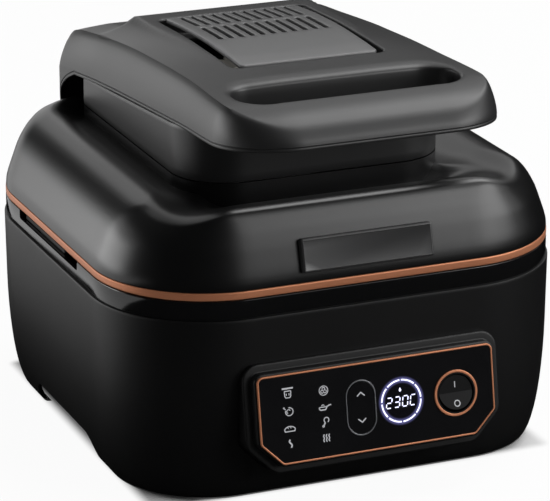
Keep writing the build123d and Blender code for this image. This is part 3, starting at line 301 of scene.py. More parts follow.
shell_heights = (3.2, 6, 10, 15, 21, 28, 36, 45, 55, 66, 78, 90, 106, 122, 134, 139.6)
rows = [shell_row(SHELL_BOTTOM, 1.6), shell_row(SHELL_BOTTOM, 0.5), shell_row(1.8, 0.12)]
rows += [shell_row(z) for z in shell_heights]
rows += [shell_row(SHELL_TOP, 0.03, 141.7), shell_row(SHELL_TOP, 0.12, 141.9), shell_row(SHELL_TOP, 0.4)]
rows += [shell_row(z, SHELL_WALL) for z in (SHELL_TOP,) + shell_heights[::-3] + (SHELL_BOTTOM,)]
base_shell = new_object("base_shell_moulding", skin(rows, wrap=True))
cut_away(base_shell, side_prism(ARCH_HALF, ARCH_H, ARCH_R, 200.0))
body_black = moulded("moulded_black", MOULDED_BLACK, 0.44, Specular_IOR_Level=0.34)
finish_piece(base_shell, body_black, "base", "body_black", "base_shell")

# Underside. A flat black plate closes the base from below and carries four posts for the feet.
# The rubber feet are held by steel screws and stand 4 mm high on the table.


def dress(finish, *names, edge=0.3, sharp=38.0):
    """A CAD node keeps its shape, and gets a finish and slightly broken edges."""
    for name in names:
        thing = nodes[name]
        thing.data.materials.clear()
        thing.data.materials.append(finish.material)
        weld = thing.modifiers.new("weld", "WELD")
        weld.merge_threshold = 0.00002
        if edge:
            bevel = thing.modifiers.new("edge", "BEVEL")
            bevel.width = edge * MM
            bevel.segments = 2
            bevel.limit_method = "ANGLE"
            bevel.angle_limit = math.radians(sharp)
            bevel.use_clamp_overlap = True
        thing.modifiers.new("shade", "WEIGHTED_NORMAL").keep_sharp = True


rubber = moulded("foot_rubber", (0.014, 0.014, 0.014, 1), 0.8, 900.0, 0.00008, 0.08)


def sheet_steel(name, colour, roughness, stretch=(60.0, 900.0, 60.0)):
    """Rolled sheet steel with fine lines along X and faint clouding."""
    finish = Finish(name, roughness, 1.0, colour)
    lines = finish.noise(1.0, 4.0, finish.stretched(stretch))
    cloud = finish.noise(22.0, 3.0)
    dull = tuple(0.78 * c for c in colour[:3]) + (1,)
    finish.wear("Base Color", finish.mix(lines * 0.5 + cloud * 0.5, dull, colour))
    finish.wear("Roughness", roughness - 0.1 + lines * 0.12 + cloud * 0.1)
    finish.bump(lines, 0.00002)
    return finish


steel = sheet_steel("rolled_steel", (0.56, 0.56, 0.55, 1), 0.34)
dress(body_black, "base_bottom_plate")
dress(rubber, "foot_front_left", "foot_rear_left", "foot_front_right", "foot_rear_right", "cord_gland")
dress(steel, "foot_screws")

# Rim bezel. A band of glossy black plastic lies round the top of the base, under the copper
# ring. It frames the cooking cavity, and a pocket in each side takes a handle of the pot.
BEZEL_TOP = 156.5
BEZEL_LIP = 148.0
CAVITY_Y = 26.0
CAVITY_HALF_W = 145.0
CAVITY_HALF_D = 136.0
CAVITY_CORNER = 62.0
POCKET_HALF = 65.0
POCKET_Y = 8.0
POCKET_FLOOR = 149.5


def cavity_loop(grow):
    front, back = CAVITY_Y - CAVITY_HALF_D - grow, CAVITY_Y + CAVITY_HALF_D + grow
    return plan_loop(CAVITY_HALF_W + grow, front, back, CAVITY_CORNER + grow)


bezel_profile = ((3.0, 142.1), (0.3, 142.1), (0.06, 142.2), (0.0, 142.5), (0.0, 149.0), (0.0, 155.2),
                 (0.25, 156.0), (0.9, 156.45), (2.0, BEZEL_TOP), (12.0, BEZEL_TOP))
rows = [at_height(ring_loop(inset), z) for inset, z in bezel_profile]
rows += [at_height(cavity_loop(grow), z) for grow, z in
         ((1.0, BEZEL_TOP), (0.3, 156.1), (0.0, 155.4), (0.0, BEZEL_LIP), (2.4, BEZEL_LIP), (2.4, 153.5))]
rows += [at_height(ring_loop(inset), z) for inset, z in ((12.0, 153.5), (3.0, 153.5))]
rim_bezel = new_object("rim_bezel_band", skin(rows, wrap=True))
pocket_top = (POCKET_FLOOR + 170.0) / 2
pocket_half = (170.0 - POCKET_FLOOR) / 2
pocket = side_prism(POCKET_HALF, pocket_half, 2.5, 190.0, (POCKET_Y, pocket_top), (6, 2, 2))
cut_away(rim_bezel, pocket)
gloss_black = moulded("gloss_black", (0.004, 0.004, 0.0042, 1), 0.12, 500.0, 0.000004, 0.04)
finish_piece(rim_bezel, gloss_black, "base", "rim_black", "rim_bezel")

# Cooking cavity. A pressed steel liner hangs in the base, with a cast plate and a heater ring on
# its floor. A sprung sensor in the middle of the plate touches the pot.
liner_steel = sheet_steel("liner_steel", (0.5, 0.5, 0.49, 1), 0.4)
cast_metal = Finish("cast_plate", 0.6, 0.9, (0.2, 0.2, 0.2, 1))
pits = cast_metal.noise(700.0, 4.0)
cast_metal.wear("Base Color", cast_metal.mix(pits, (0.12, 0.12, 0.12, 1), (0.27, 0.27, 0.26, 1)))
cast_metal.wear("Roughness", 0.5 + pits * 0.25)
cast_metal.bump(pits, 0.00015)
heater_tube = Finish("heater_tube", 0.45, 1.0, (0.2, 0.17, 0.16, 1))
scale = heater_tube.noise(120.0, 5.0)
heater_tube.wear("Base Color", heater_tube.mix(scale, (0.09, 0.075, 0.07, 1), (0.3, 0.26, 0.24, 1)))
heater_tube.wear("Roughness", 0.35 + scale * 0.3)
heater_tube.bump(scale, 0.00006)
dress(liner_steel, "cavity_liner", "sensor_cup", "sensor_button", "sensor_spring")
dress(cast_metal, "hot_plate")
dress(heater_tube, "lower_heating_element", "upper_heating_element", edge=0)

# Pot and crisper plate. Both are aluminium with a speckled non-stick coating, which is sprayed
# on and baked. The pot's two flat handles lie in the pockets of the rim.
nonstick = Finish("nonstick", 0.42, 0.0, (0.02, 0.02, 0.021, 1))
speckle = nonstick.add("ShaderNodeTexVoronoi", {}, {"Vector": nonstick.spot(), "Scale": 420.0})
flecks = nonstick.add("ShaderNodeMapRange", {}, {0: speckle, 1: 0.16, 2: 0.1})
mottle = nonstick.noise(60.0, 4.0)
ground = nonstick.mix(mottle, (0.013, 0.013, 0.014, 1), (0.03, 0.03, 0.031, 1))
nonstick.wear("Base Color", nonstick.mix(flecks, ground, (0.16, 0.16, 0.17, 1)))
nonstick.wear("Roughness", 0.34 + mottle * 0.18)
nonstick.bump(mottle * 0.7 + speckle * 0.3, 0.00006)
dress(nonstick, "cooking_pot", "crisper_plate", edge=0.5)

# Control pod. A stepped black housing stands out of the front of the base and leans back. It
# is moulded apart from the base and screwed on from inside.
PANEL_ORIGIN = Vector((0.0, -198.2, 70.85))
PANEL_LEAN = math.radians(9.9)
PANEL_OUT = Vector((0.0, -math.cos(PANEL_LEAN), math.sin(PANEL_LEAN)))
PANEL_UP = Vector((0.0, math.sin(PANEL_LEAN), math.cos(PANEL_LEAN)))
PANEL_HALF_W = 90.0
PANEL_HALF_H = 31.2
PANEL_CUT = 15.5
PANEL_R = 3.5


def on_panel(across, up, out):
    """A point by its place on the panel's face and its height above it."""
    return PANEL_ORIGIN + Vector((across, 0.0, 0.0)) + PANEL_UP * up + PANEL_OUT * out


def corner_loop(corners, steps=8):
    """Polygon with an arc of the given radius at each corner: (x, y, radius)."""
    points = []
    count = len(corners)
    for index, (x, y, radius) in enumerate(corners):
        corner = Vector((x, y))
        before = (Vector(corners[index - 1][:2]) - corner).normalized()
        after = (Vector(corners[(index + 1) % count][:2]) - corner).normalized()
        half = before.angle(after) / 2
        start = corner + before * radius / math.tan(half)
        end = corner + after * radius / math.tan(half)
        centre = corner + (before + after).normalized() * radius / math.sin(half)
        first, last = start - centre, end - centre
        turn = first.angle_signed(last)
        for step in range(steps + 1):
            angle = -turn * step / steps
            cos, sin = math.cos(angle), math.sin(angle)
            points.append((centre.x + first.x * cos - first.y * sin,
                           centre.y + first.x * sin + first.y * cos))
    return points


def panel_loop(grow, out, low_r=3.0):
    half_w, half_h = PANEL_HALF_W + grow, PANEL_HALF_H + grow
    cut = PANEL_CUT + grow * (2 - math.sqrt(2))
    top_r, low_r = max(0.4, PANEL_R + grow), max(0.4, low_r + grow)
    corners = (
        (half_w, half_h, top_r), (-half_w, half_h, top_r), (-half_w, cut - half_h, low_r),
        (cut - half_w, -half_h, low_r), (half_w - cut, -half_h, low_r), (half_w, cut - half_h, low_r),
    )
    return [on_panel(x, y, out) for x, y in corner_loop(corners)]


pod_profile = ((1.4, -3.2), (1.4, -1.1), (1.6, -0.85), (2.3, -0.95), (2.8, -1.5), (3.0, -2.1),
               (3.0, -2.7), (3.0, -7.2), (3.1, -7.8), (3.4, -8.0), (4.0, -8.0), (7.6, -8.0), (8.2, -8.06),
               (8.7, -8.35), (8.95, -8.9), (9.0, -9.6), (9.0, -10.6), (9.0, -34.0), (1.4, -34.0))
control_pod = new_object("control_pod_housing", skin([panel_loop(*row) for row in pod_profile], wrap=True))
finish_piece(control_pod, body_black, "base", "body_black", "control_pod", sharp=50.0)

# Touch panel and its copper frame. A sheet of smoked glass fills the pod's face, and a thin
# copper-coloured frame with two cut corners runs round it.
panel_glass = Finish("panel_glass", 0.16, 0.0, (0.0045, 0.0045, 0.005, 1), Specular_IOR_Level=0.22)
smear = panel_glass.noise(26.0, 3.0)
panel_glass.wear("Roughness", 0.13 + smear * 0.08)
panel_glass.wear("Base Color", panel_glass.mix(smear, (0.004, 0.004, 0.0045, 1), (0.0055, 0.0055, 0.006, 1)))
dress(panel_glass, "touch_panel", "adjust_key", edge=0.25)


def plated(name, colour, dark, roughness, metallic=1.0):
    """Metal-plated trim: a fine satin grain and small changes of tone."""
    finish = Finish(name, roughness, metallic, colour)
    tone = finish.noise(30.0, 3.0)
    fine = finish.noise(1800.0, 2.0)
    finish.wear("Base Color", finish.mix(tone * 0.6 + fine * 0.4, dark, colour))
    finish.wear("Roughness", roughness - 0.05 + tone * 0.08 + fine * 0.05)
    finish.bump(fine, 0.00001)
    return finish


copper = plated("copper_plate", (0.56, 0.225, 0.115, 1), (0.47, 0.18, 0.09, 1), 0.42, 0.55)
trim_profile = ((0.0, -1.6), (0.0, 0.2), (0.12, 0.4), (0.35, 0.5), (0.95, 0.5), (1.18, 0.4), (1.3, 0.15),
                (1.3, -2.8), (0.1, -2.8))
panel_trim = new_object("panel_frame", skin([panel_loop(*row) for row in trim_profile], wrap=True))
finish_piece(panel_trim, copper, "base", "copper", "panel_trim", sharp=60.0)

# Signs on the panel. They are printed or lit from behind, 0.08 mm proud of the glass: eight small
# cooking pictograms, the arrows of the key, and a display with digits and a ring of eight lights.
PRINT = 0.08


def add_patch(mesh, outer, inner, place):
    """A flat ribbon between two rails of points, as a thin closed plate laid on by place()."""
    rails = []
    for rail in (outer, inner):
        for out in (PRINT, -0.05):
            rails.append([mesh.verts.new(place(x, y, out) * MM) for x, y in rail])
    high_a, low_a, high_b, low_b = rails
    for i in range(len(outer) - 1):
        for one, two in ((high_a, high_b), (high_b, low_b), (low_b, low_a), (low_a, high_a)):
            mesh.faces.new((one[i], one[i + 1], two[i + 1], two[i]))
    mesh.faces.new((high_a[0], high_b[0], low_b[0], low_a[0]))
    mesh.faces.new((high_a[-1], low_a[-1], low_b[-1], high_b[-1]))


def stroke_rails(points, width):
    """Two rails beside a line of points, half a stroke to each side."""
    points = [Vector(p) for p in points]
    left, right = [], []
    for i, here in enumerate(points):
        ahead = (points[min(i + 1, len(points) - 1)] - here).normalized()
        behind = (here - points[max(i - 1, 0)]).normalized()
        along = (ahead + behind).normalized()
        side = Vector((-along.y, along.x))
        turn = max(0.5, side.dot(Vector((-behind.y, behind.x))) if i else 1.0)
        reach = width / 2 / turn
        left.append(tuple(here + side * reach))
        right.append(tuple(here - side * reach))
    return left, right


def arc(x, y, radius, start, end, count=14, flat=1.0):
    angles = [math.radians(start + (end - start) * i / count) for i in range(count + 1)]
    return [(x + radius * math.cos(a), y + flat * radius * math.sin(a)) for a in angles]


def draw_sign(mesh, strokes, centre, place, scale=1.0):
    for points, width in strokes:
        moved = [(centre[0] + x * scale, centre[1] + y * scale) for x, y in points]
        add_patch(mesh, *stroke_rails(moved, width), place)


lidded_pot = [
    ([(-4.6, 3.7), (4.6, 3.7)], 1.2),
    ([(-2.7, 1.6), (-2.4, -2.6), (-1.6, -3.6), (1.6, -3.6), (2.4, -2.6), (2.7, 1.6)], 0.7),
    ([(-2.7, 1.6), (2.7, 1.6)], 0.7), ([(-1.2, -0.2), (-1.1, -1.9)], 0.6), ([(1.2, -0.2), (1.1, -1.9)], 0.6),
]
round_roast = [
    (arc(0.4, -0.4, 3.1, -200, 100, 22), 0.7), (arc(-0.2, -0.2, 1.5, 20, 250, 12), 0.6),
    ([(-2.6, 1.4), (-4.0, 2.9)], 0.7), ([(-4.5, 2.4), (-3.5, 3.5)], 0.7),
]
loaf = [
    (arc(0.0, -1.2, 4.4, 0, 180, 20, 0.62), 0.75),
    ([(-4.4, -1.2), (-3.9, -2.3), (3.9, -2.3), (4.4, -1.2)], 0.75),
    ([(-1.7, 0.9), (-1.1, -0.2)], 0.55), ([(0.4, 1.1), (1.0, 0.0)], 0.55),
]
wisp = [([(-0.4, 3.2), (-1.1, 2.0), (-0.7, 0.8), (0.5, -0.3), (0.9, -1.5), (0.3, -3.2)], 1.1)]
fan_sign = [
    (arc(0.0, 0.0, 3.6, 0, 360, 32), 0.6), (arc(0.0, 1.3, 1.2, -80, 190, 12), 0.6),
    (arc(1.15, -0.7, 1.2, 160, 430, 12), 0.6), (arc(-1.15, -0.7, 1.2, 40, 310, 12), 0.6),
]
pan = [
    ([(-4.4, 0.2), (-4.0, -1.4), (-3.2, -2.0), (0.6, -2.0), (1.4, -1.2), (1.8, 0.2)], 0.9),
    ([(-4.4, 0.2), (1.8, 0.2)], 0.7), ([(1.7, 0.1), (4.0, 1.2), (5.6, 1.4)], 0.9),
    (arc(-1.3, 0.9, 1.1, 10, 170, 8), 0.55),
]
drumstick = [
    (arc(0.9, 1.6, 2.0, -60, 235, 20), 0.7), ([(-0.1, -0.1), (-1.4, -2.6)], 1.0),
    (arc(-1.8, -3.0, 0.7, 0, 360, 12), 0.7),
]
steam = [
    ([(x + 0.5, 3.0), (x - 0.2, 1.5), (x + 0.5, 0.0), (x - 0.2, -1.5), (x + 0.4, -3.0)], 0.8)
    for x in (-2.2, 0.0, 2.2)
]
LEFT_SIGNS = -68.7
RIGHT_SIGNS = -41.4
signs = bmesh.new()
for up, sign in ((18.6, lidded_pot), (5.6, round_roast), (-6.8, loaf), (-17.8, wisp)):
    draw_sign(signs, sign, (LEFT_SIGNS, up), on_panel, 0.92)
for up, sign in ((16.5, fan_sign), (4.5, pan), (-6.3, drumstick), (-17.8, steam)):
    draw_sign(signs, sign, (RIGHT_SIGNS, up), on_panel, 0.92)
glowing_print_ink = Finish("printed_signs", 0.5, 0.0, (0.6, 0.61, 0.63, 1))
glowing_print_ink.wear("Base Color", glowing_print_ink.mix(
    glowing_print_ink.noise(900.0), (0.24, 0.245, 0.26, 1), (0.5, 0.505, 0.52, 1)))
# Painted glow: the ink's emission makes every sign in it glow a little, on the panel, on the key and on the
# rocker, whose white-filled signs have nothing lit behind them.
glowing_print_ink.wear("Emission Color", glowing_print_ink.mix(
    glowing_print_ink.noise(260.0), (0.2, 0.2, 0.22, 1), (0.45, 0.46, 0.5, 1)))
glowing_print_ink.shader.inputs["Emission Strength"].default_value = 0.3
finish_piece(new_object("panel_signs", signs), glowing_print_ink, "base", "panel_black")

DISPLAY_X = 18.0
DISPLAY_UP = 0.4
LIGHT_R = 15.2
lights = bmesh.new()
for index in range(8):
    start = 90 - 45 * index - 42.6
    outer, inner = [arc(DISPLAY_X, DISPLAY_UP, LIGHT_R + half, start, start + 40) for half in (0.55, -0.55)]
    add_patch(lights, outer, inner, on_panel)
SEGMENTS = {
    "a": ((-1, 2), (1, 2)), "b": ((1, 2), (1, 0)), "c": ((1, 0), (1, -2)), "d": ((-1, -2), (1, -2)),
    "e": ((-1, 0), (-1, -2)), "f": ((-1, 2), (-1, 0)), "g": ((-1, 0), (1, 0)),
}
DIGIT_HALF_W = 2.0
DIGIT_HALF_H = 3.7
DIGIT_SLANT = 0.13
for across, lit in ((-9.5, "abged"), (-3.3, "abgcd"), (3.0, "abcdef"), (9.1, "afed")):
    for letter in lit:
        ends = []
        for column, row in SEGMENTS[letter]:
            up = row * DIGIT_HALF_H / 2
            ends.append(Vector((column * DIGIT_HALF_W + up * DIGIT_SLANT, up)))
        along = (ends[1] - ends[0]).normalized()
        first, last = ends[0] + along * 0.55, ends[1] - along * 0.55
        middle = Vector((DISPLAY_X + across, DISPLAY_UP - 0.5))
        add_patch(lights, *stroke_rails([middle + first, middle + last], 0.8), on_panel)
drop_rail = [(0.05, 1.9), (0.5, 0.9), (0.95, 0.0), (0.8, -0.8), (0.1, -1.2)]
drop_place = Vector((DISPLAY_X - 0.6, DISPLAY_UP + 8.0))
add_patch(lights, [tuple(drop_place + Vector(p)) for p in drop_rail],
          [tuple(drop_place + Vector((-p[0], p[1]))) for p in drop_rail], on_panel)
lit_white = Finish("display_light", 0.4, 0.0, (0.8, 0.82, 1.0, 1))
glow = lit_white.noise(420.0)
lit_white.wear("Emission Color", lit_white.mix(glow, (0.56, 0.56, 0.95, 1), (0.8, 0.8, 1.0, 1)))
lit_white.shader.inputs["Emission Strength"].default_value = 1.05
finish_piece(new_object("display_lights", lights), lit_white, "base", "display")

halo_rows = [[on_panel(DISPLAY_X + x, DISPLAY_UP + y, out) for x, y in arc(0, 0, radius, 0, 360, 64)[:-1]]
             for radius, out in
             ((18.4, -0.05), (18.4, 0.02), (17.0, 0.03), (14.0, 0.03), (9.0, 0.03), (3.0, 0.03))]
halo = skin(halo_rows, caps=True)
halo_glow = Finish("display_halo", 0.16, 0.0, (0.0045, 0.0045, 0.006, 1), Specular_IOR_Level=0.22)
centre = on_panel(DISPLAY_X, DISPLAY_UP, 0) * MM
offset = halo_glow.add("ShaderNodeVectorMath", {"operation": "DISTANCE"}, {0: halo_glow.spot(), 1: centre}, 1)
from_ring = halo_glow.add("ShaderNodeMath", {"operation": "ABSOLUTE"}, {0: offset / MM - LIGHT_R})
near_ring = halo_glow.add("ShaderNodeMapRange", {"interpolation_type": "SMOOTHSTEP"},
                          {0: from_ring, 1: 3.0, 2: 0.4})
halo_glow.wear("Emission Color", halo_glow.mix(near_ring, (0.0, 0.0, 0.0, 1), (0.12, 0.12, 0.3, 1)))
halo_glow.shader.inputs["Emission Strength"].default_value = 0.9
finish_piece(new_object("display_window", halo), halo_glow, "base", "display")

# Key for raising and lowering a setting. A glass-fronted see-saw key sits in a thin silver
# frame, and its two arrows are printed on it.
KEY_X = -13.3
silver = plated("silver_frame", (0.26, 0.265, 0.28, 1), (0.18, 0.185, 0.195, 1), 0.36)
dress(silver, "key_bezel", edge=0.15)
arrows = bmesh.new()
KEY_PROUD = 0.5


def on_key(across, up, out):
    return on_panel(across, up, KEY_PROUD + out)


for up, side in ((9.9, 1), (-9.2, -1)):
    chevron = [([(-3.0, -1.3 * side), (0.0, 1.3 * side), (3.0, -1.3 * side)], 0.85)]
    draw_sign(arrows, chevron, (KEY_X, up), on_key)
finish_piece(new_object("key_arrows", arrows), glowing_print_ink, "key", "panel_black")

# Power switch. A round black rocker tilts inside a copper ring, with the signs for on and off
# moulded into its two halves and filled with white.
ROCKER_X = 60.7
dress(copper, "rocker_ring", edge=0.45)
rocker_black = moulded("rocker_black", (0.004, 0.004, 0.0042, 1), 0.5, 1500.0, 0.00001,
                        Specular_IOR_Level=0.12)
dress(rocker_black, "rocker_housing", "power_rocker", edge=0.3)
rocker_data = nodes["power_rocker"]


def on_rocker(across, up, out):
    """A point on the rocker's own surface, found from straight in front of it."""
    start = on_panel(across, up, 30.0) * MM
    hit, place, *_ = rocker_data.ray_cast(start, -PANEL_OUT)
    return place / MM + PANEL_OUT * (out + 0.02)


marks = bmesh.new()
draw_sign(marks, [([(0.0, 2.2), (0.0, 0.8), (0.0, -0.7), (0.0, -2.2)], 0.7)],
          (ROCKER_X - 0.4, 6.3), on_rocker)
draw_sign(marks, [(arc(0.0, 0.0, 2.1, 0, 360, 28), 0.7)], (ROCKER_X, -7.4), on_rocker)
# The rocker's signs wear the glowing ink, so they glow with painted light.
finish_piece(new_object("rocker_signs", marks), glowing_print_ink, "rocker", "rim_black")

# Boards and other parts inside the base, seen only through gaps: green circuit boards, white
# nylon carriers and the lid switch.
board_green = Finish("circuit_board", 0.45, 0.0, (0.015, 0.09, 0.04, 1))
tracks = board_green.add("ShaderNodeTexBrick", {}, {
    "Vector": board_green.spot(), "Scale": 160.0, "Color1": (0.012, 0.075, 0.03, 1),
    "Color2": (0.02, 0.11, 0.05, 1), "Mortar": (0.05, 0.16, 0.08, 1)})
board_green.wear("Base Color", tracks)
board_green.wear("Roughness", 0.38 + board_green.noise(300.0) * 0.15)
nylon = moulded("natural_nylon", (0.5, 0.48, 0.43, 1), 0.5)
dark_window = moulded("display_module", (0.02, 0.02, 0.025, 1), 0.3)
dress(board_green, "control_board", "power_board")
dress(nylon, "key_cradle", "reed_switch", "cooling_fan")
dress(dark_window, "display_module")

# Rear hinge. A housing behind the base carries two lugs and a steel pin, and the lid's arm
# turns on that pin.
dress(body_black, "hinge_housing", "hinge_bracket_left", "hinge_bracket_right", "lid_hinge_arm", edge=0.8)
dress(steel, "hinge_pin")

# Copper ring. It is a plated band between base and lid, fixed to the lid, with a shadow gap above
# and below it.
ring_profile = ((4.6, 156.9), (0.9, 156.9), (0.3, 157.05), (0.03, 157.5), (0.0, 158.3), (0.0, 161.2),
                (0.03, 162.0), (0.3, 162.45), (0.9, 162.6), (4.6, 162.6))
ring_rows = [at_height(ring_loop(inset), z) for inset, z in ring_profile]
trim_ring = new_object("copper_ring", skin(ring_rows, wrap=True))
finish_piece(trim_ring, copper, "lid", "copper", "lid_trim_ring", sharp=60.0)

# Lid dome. The lower half of the lid is one satin black moulding: a wall that leans in, a broad
# round shoulder, and a sunk shelf that meets an upright collar under the neck.
NECK_HALF_W = 103.5
NECK_FRONT = -102.0
NECK_BACK = 134.0
NECK_CORNER = 42.0
NECK_REAR_CORNER = 10.0
NECK_Z = 216.0
DOME_REAR_SHARE = 0.72
CORNER_DROP = 5.5
CREST_Z = 214.6
CREST_CORNER = 49.0
BROW_SIDE = 0.24
BROW_FRONT_LESS = 0.15
SHELF_WALL = 1.4
SHELF_CREST = 216.4


def smooth_curve(*points):
    """Rising or falling curve through the points without overshoot, as a function."""
    xs = [p[0] for p in points]
    ys = [p[1] for p in points]
    runs = [(y1 - y0) / (x1 - x0) for x0, x1, y0, y1 in zip(xs, xs[1:], ys, ys[1:])]
    inner = [0.0 if a * b <= 0 else 2 * a * b / (a + b) for a, b in zip(runs, runs[1:])]
    slopes = [runs[0]] + inner + [runs[-1]]

    def height(x):
        if x <= xs[0]:
            return ys[0]
        if x >= xs[-1]:
            return ys[-1]
        i = bisect.bisect_right(xs, x) - 1
        width = xs[i + 1] - xs[i]
        t = (x - xs[i]) / width
        rise = ys[i + 1] - ys[i]
        bow = t * (1 - t) * ((1 - t) * (slopes[i] * width - rise) - t * (slopes[i + 1] * width - rise))
        return ys[i] + rise * t + bow

    return height


dome_inset = smooth_curve((162.0, 0.3), (165.0, 0.5), (168.0, 1.0), (174.0, 2.9), (179.5, 5.0),
                          (185.0, 7.2), (191.0, 9.6), (195.0, 11.6), (199.6, 14.3), (203.5, 17.2),
                          (207.0, 20.6), (210.4, 24.8), (213.0, 29.2), (214.6, 33.0))
dome_corner = smooth_curve((162.0, 86.0), (179.5, 80.2), (199.6, 70.5), (207.0, 63.0), (214.6, 49.0))
dome_heights = (164.0, 168.0, 173.0, 178.0, 183.0, 188.0, 192.0, 195.5, 198.5, 201.2, 203.7, 206.0, 208.0,
                209.8, 211.4, 212.7, 213.8, 214.6)


front_share = smooth_curve((196.0, 0.72), (206.0, 0.66), (214.6, 0.55))
shelf_height = smooth_curve((0.0, CREST_Z), (0.33, 215.7), (0.7, 216.3), (1.0, SHELF_CREST))


def corner_drop(z, nx, ny):
    """How far the shoulder lies lower at the two front corners."""
    if ny >= 0:
        return 0.0
    return CORNER_DROP * 4 * nx * nx * ny * ny * min(1.0, max(0.0, z - 190.0) / 22.0)


def dome_row(z, wall=0.0, level=None):
    inset = dome_inset(z)
    front = wall + front_share(z) * inset - RING_HALF_D
    back = RING_HALF_D - wall - DOME_REAR_SHARE * inset
    loop = plan_loop(RING_HALF_W - inset - wall, front, back, dome_corner(z) - wall)
    high = z if level is None else level
    return [(x, y, high - corner_drop(z, nx, ny)) for x, y, nx, ny in loop]


shelf_fall = smooth_curve((0.0, 0.0), (0.12, 0.02), (0.3, 0.2), (0.5, 0.5), (0.7, 0.78), (0.86, 0.94),
                          (1.0, 1.0))
valley_height = smooth_curve((-112.0, 196.0), (-102.0, 196.5), (-95.0, 200.5), (-87.0, 206.8), (134.0, 207.6))


def shelf_row(share, drop=0.0, rise=0.0):
    """Loop part of the way from the shoulder's end to the foot of the collar."""
    inset = dome_inset(CREST_Z)
    front, back = front_share(CREST_Z) * inset - RING_HALF_D, RING_HALF_D - DOME_REAR_SHARE * inset
    start = (RING_HALF_W - inset, front, back, CREST_CORNER, CREST_CORNER)
    end = (NECK_HALF_W, NECK_FRONT, NECK_BACK, NECK_CORNER, NECK_REAR_CORNER)
    size = [a + (b - a) * share for a, b in zip(start, end)]
    foot = plan_loop(*end)
    row = []
    for (x, y, nx, ny), (_, foot_y, *_) in zip(plan_loop(*size), foot):
        low = valley_height(foot_y)
        brow = BROW_SIDE - (BROW_FRONT_LESS * ny * ny if ny < 0 else 0.0)
        fall = shelf_fall(max(0.0, share - brow) / (1 - brow))
        high = shelf_height(share / brow) - corner_drop(CREST_Z, nx, ny) * (1 - fall)
        z = high - (high - low) * fall
        row.append((x, y, z + (SHELF_CREST - 0.7 - z) * rise - drop))
    return row


rows = [at_height(ring_loop(1.6), 162.8), at_height(ring_loop(0.85), 162.8),
        at_height(ring_loop(0.45), 163.0), at_height(ring_loop(0.35), 163.4)]
rows += [dome_row(z) for z in dome_heights]
rows += [shelf_row(s) for s in
         (0.06, 0.12, 0.18, 0.24, 0.3, 0.36, 0.43, 0.5, 0.58, 0.66, 0.74, 0.81, 0.88, 0.94, 0.98, 1.0)]
rows += [shelf_row(1.0, rise=r) for r in (0.05, 0.3, 0.6, 0.9, 1.0)]
rows += [shelf_row(1.03, 0.0, r) for r in (1.0, 0.6, 0.05)]
rows += [shelf_row(s, SHELF_WALL) for s in (1.0, 0.8, 0.6, 0.4, 0.2)]
rows += [dome_row(z, 3.0, z - 2.0) for z in dome_heights[::-2]]
rows += [at_height(ring_loop(3.4), 162.8)]
lid_dome = new_object("lid_dome_moulding", skin(rows, wrap=True))
satin_black = moulded("satin_black", (0.0036, 0.0036, 0.0038, 1), 0.31, 1700.0, 0.000012, 0.03)
finish_piece(lid_dome, satin_black, "lid", "lid_black", "lid_dome")

# Badge plate. A bare bar of satin black plastic with bevelled edges is stuck on the middle of
# the dome's front.
BADGE_HALF_W = 50.5
BADGE_HALF_H = 12.25
BADGE_CENTRE = Vector((0.0, -175.9, 182.2))
BADGE_LEAN = math.radians(14.5)
badge_out = Vector((0.0, -math.cos(BADGE_LEAN), math.sin(BADGE_LEAN)))
badge_up = Vector((0.0, math.sin(BADGE_LEAN), math.cos(BADGE_LEAN)))


def badge_loop(inset, out):
    loop = plan_loop(BADGE_HALF_W - inset, inset - BADGE_HALF_H, BADGE_HALF_H - inset,
                     max(0.5, 1.8 - inset), steps=(5, 3, 8))
    return [BADGE_CENTRE + Vector((x, 0, 0)) + badge_up * y + badge_out * out for x, y, *_ in loop]


badge_profile = ((0.0, -6.0), (0.0, 1.7), (0.2, 2.15), (1.1, 2.65), (1.5, 2.72), (1.7, 2.66), (1.9, 2.55))
badge = new_object("badge_bar", skin([badge_loop(*row) for row in badge_profile], caps=True))
badge_black = moulded("badge_satin", (0.02, 0.02, 0.0205, 1), 0.34, 1200.0, 0.00001, 0.04)
finish_piece(badge, badge_black, "lid", "lid_black", "badge_plate", sharp=25.0)

# Neck. An upright wall carries the top cover above the dome. It is moulded in the cover's dark
# grey, and a fine gap parts it from the dome below and from the cover above.
SKIRT_FRONT_Z = 266.5
SKIRT_RATE = 0.0849
COVER_FRONT = -199.5


def skirt_z(y):
    return SKIRT_FRONT_Z - SKIRT_RATE * (y - COVER_FRONT)


def neck_loop(inset):
    rear_corner = max(1.0, NECK_REAR_CORNER - inset)
    loop = plan_loop(NECK_HALF_W - inset, NECK_FRONT + inset, NECK_BACK - inset,
                     NECK_CORNER - inset, rear_corner)
    return [(x, y) for x, y, *_ in loop]


def neck_row(inset, share, lift=0.0):
    """Loop part of the way up from the dome to the cover's skirt."""
    return [(x, y, NECK_Z + 0.5 + (skirt_z(y) - NECK_Z - 1.1) * share + lift) for x, y in neck_loop(inset)]


neck_rows = [neck_row(3.0, 0.0, -0.3), neck_row(0.9, 0.0, -0.3), neck_row(0.3, 0.0, 0.0),
             neck_row(0.0, 0.0, 0.7)]
neck_rows += [neck_row(0.0, share) for share in (0.15, 0.3, 0.45, 0.6, 0.75, 0.9)]
neck_rows += [neck_row(0.0, 1.0, -0.7), neck_row(0.4, 1.0, -0.1), neck_row(3.4, 1.0, 0.0),
              neck_row(3.4, 1.0, 4.0)]
neck_rows += [neck_row(6.2, 1.0, 4.0), neck_row(6.2, 0.5), neck_row(3.2, 0.3)]
cover_grey = moulded("cover_grey", (0.0125, 0.0125, 0.0128, 1), 0.4, 1500.0, 0.00003, 0.04)
lid_neck = new_object("lid_neck_wall", skin(neck_rows, wrap=True))
finish_piece(lid_neck, cover_grey, "lid", "cover_grey", "lid_neck")

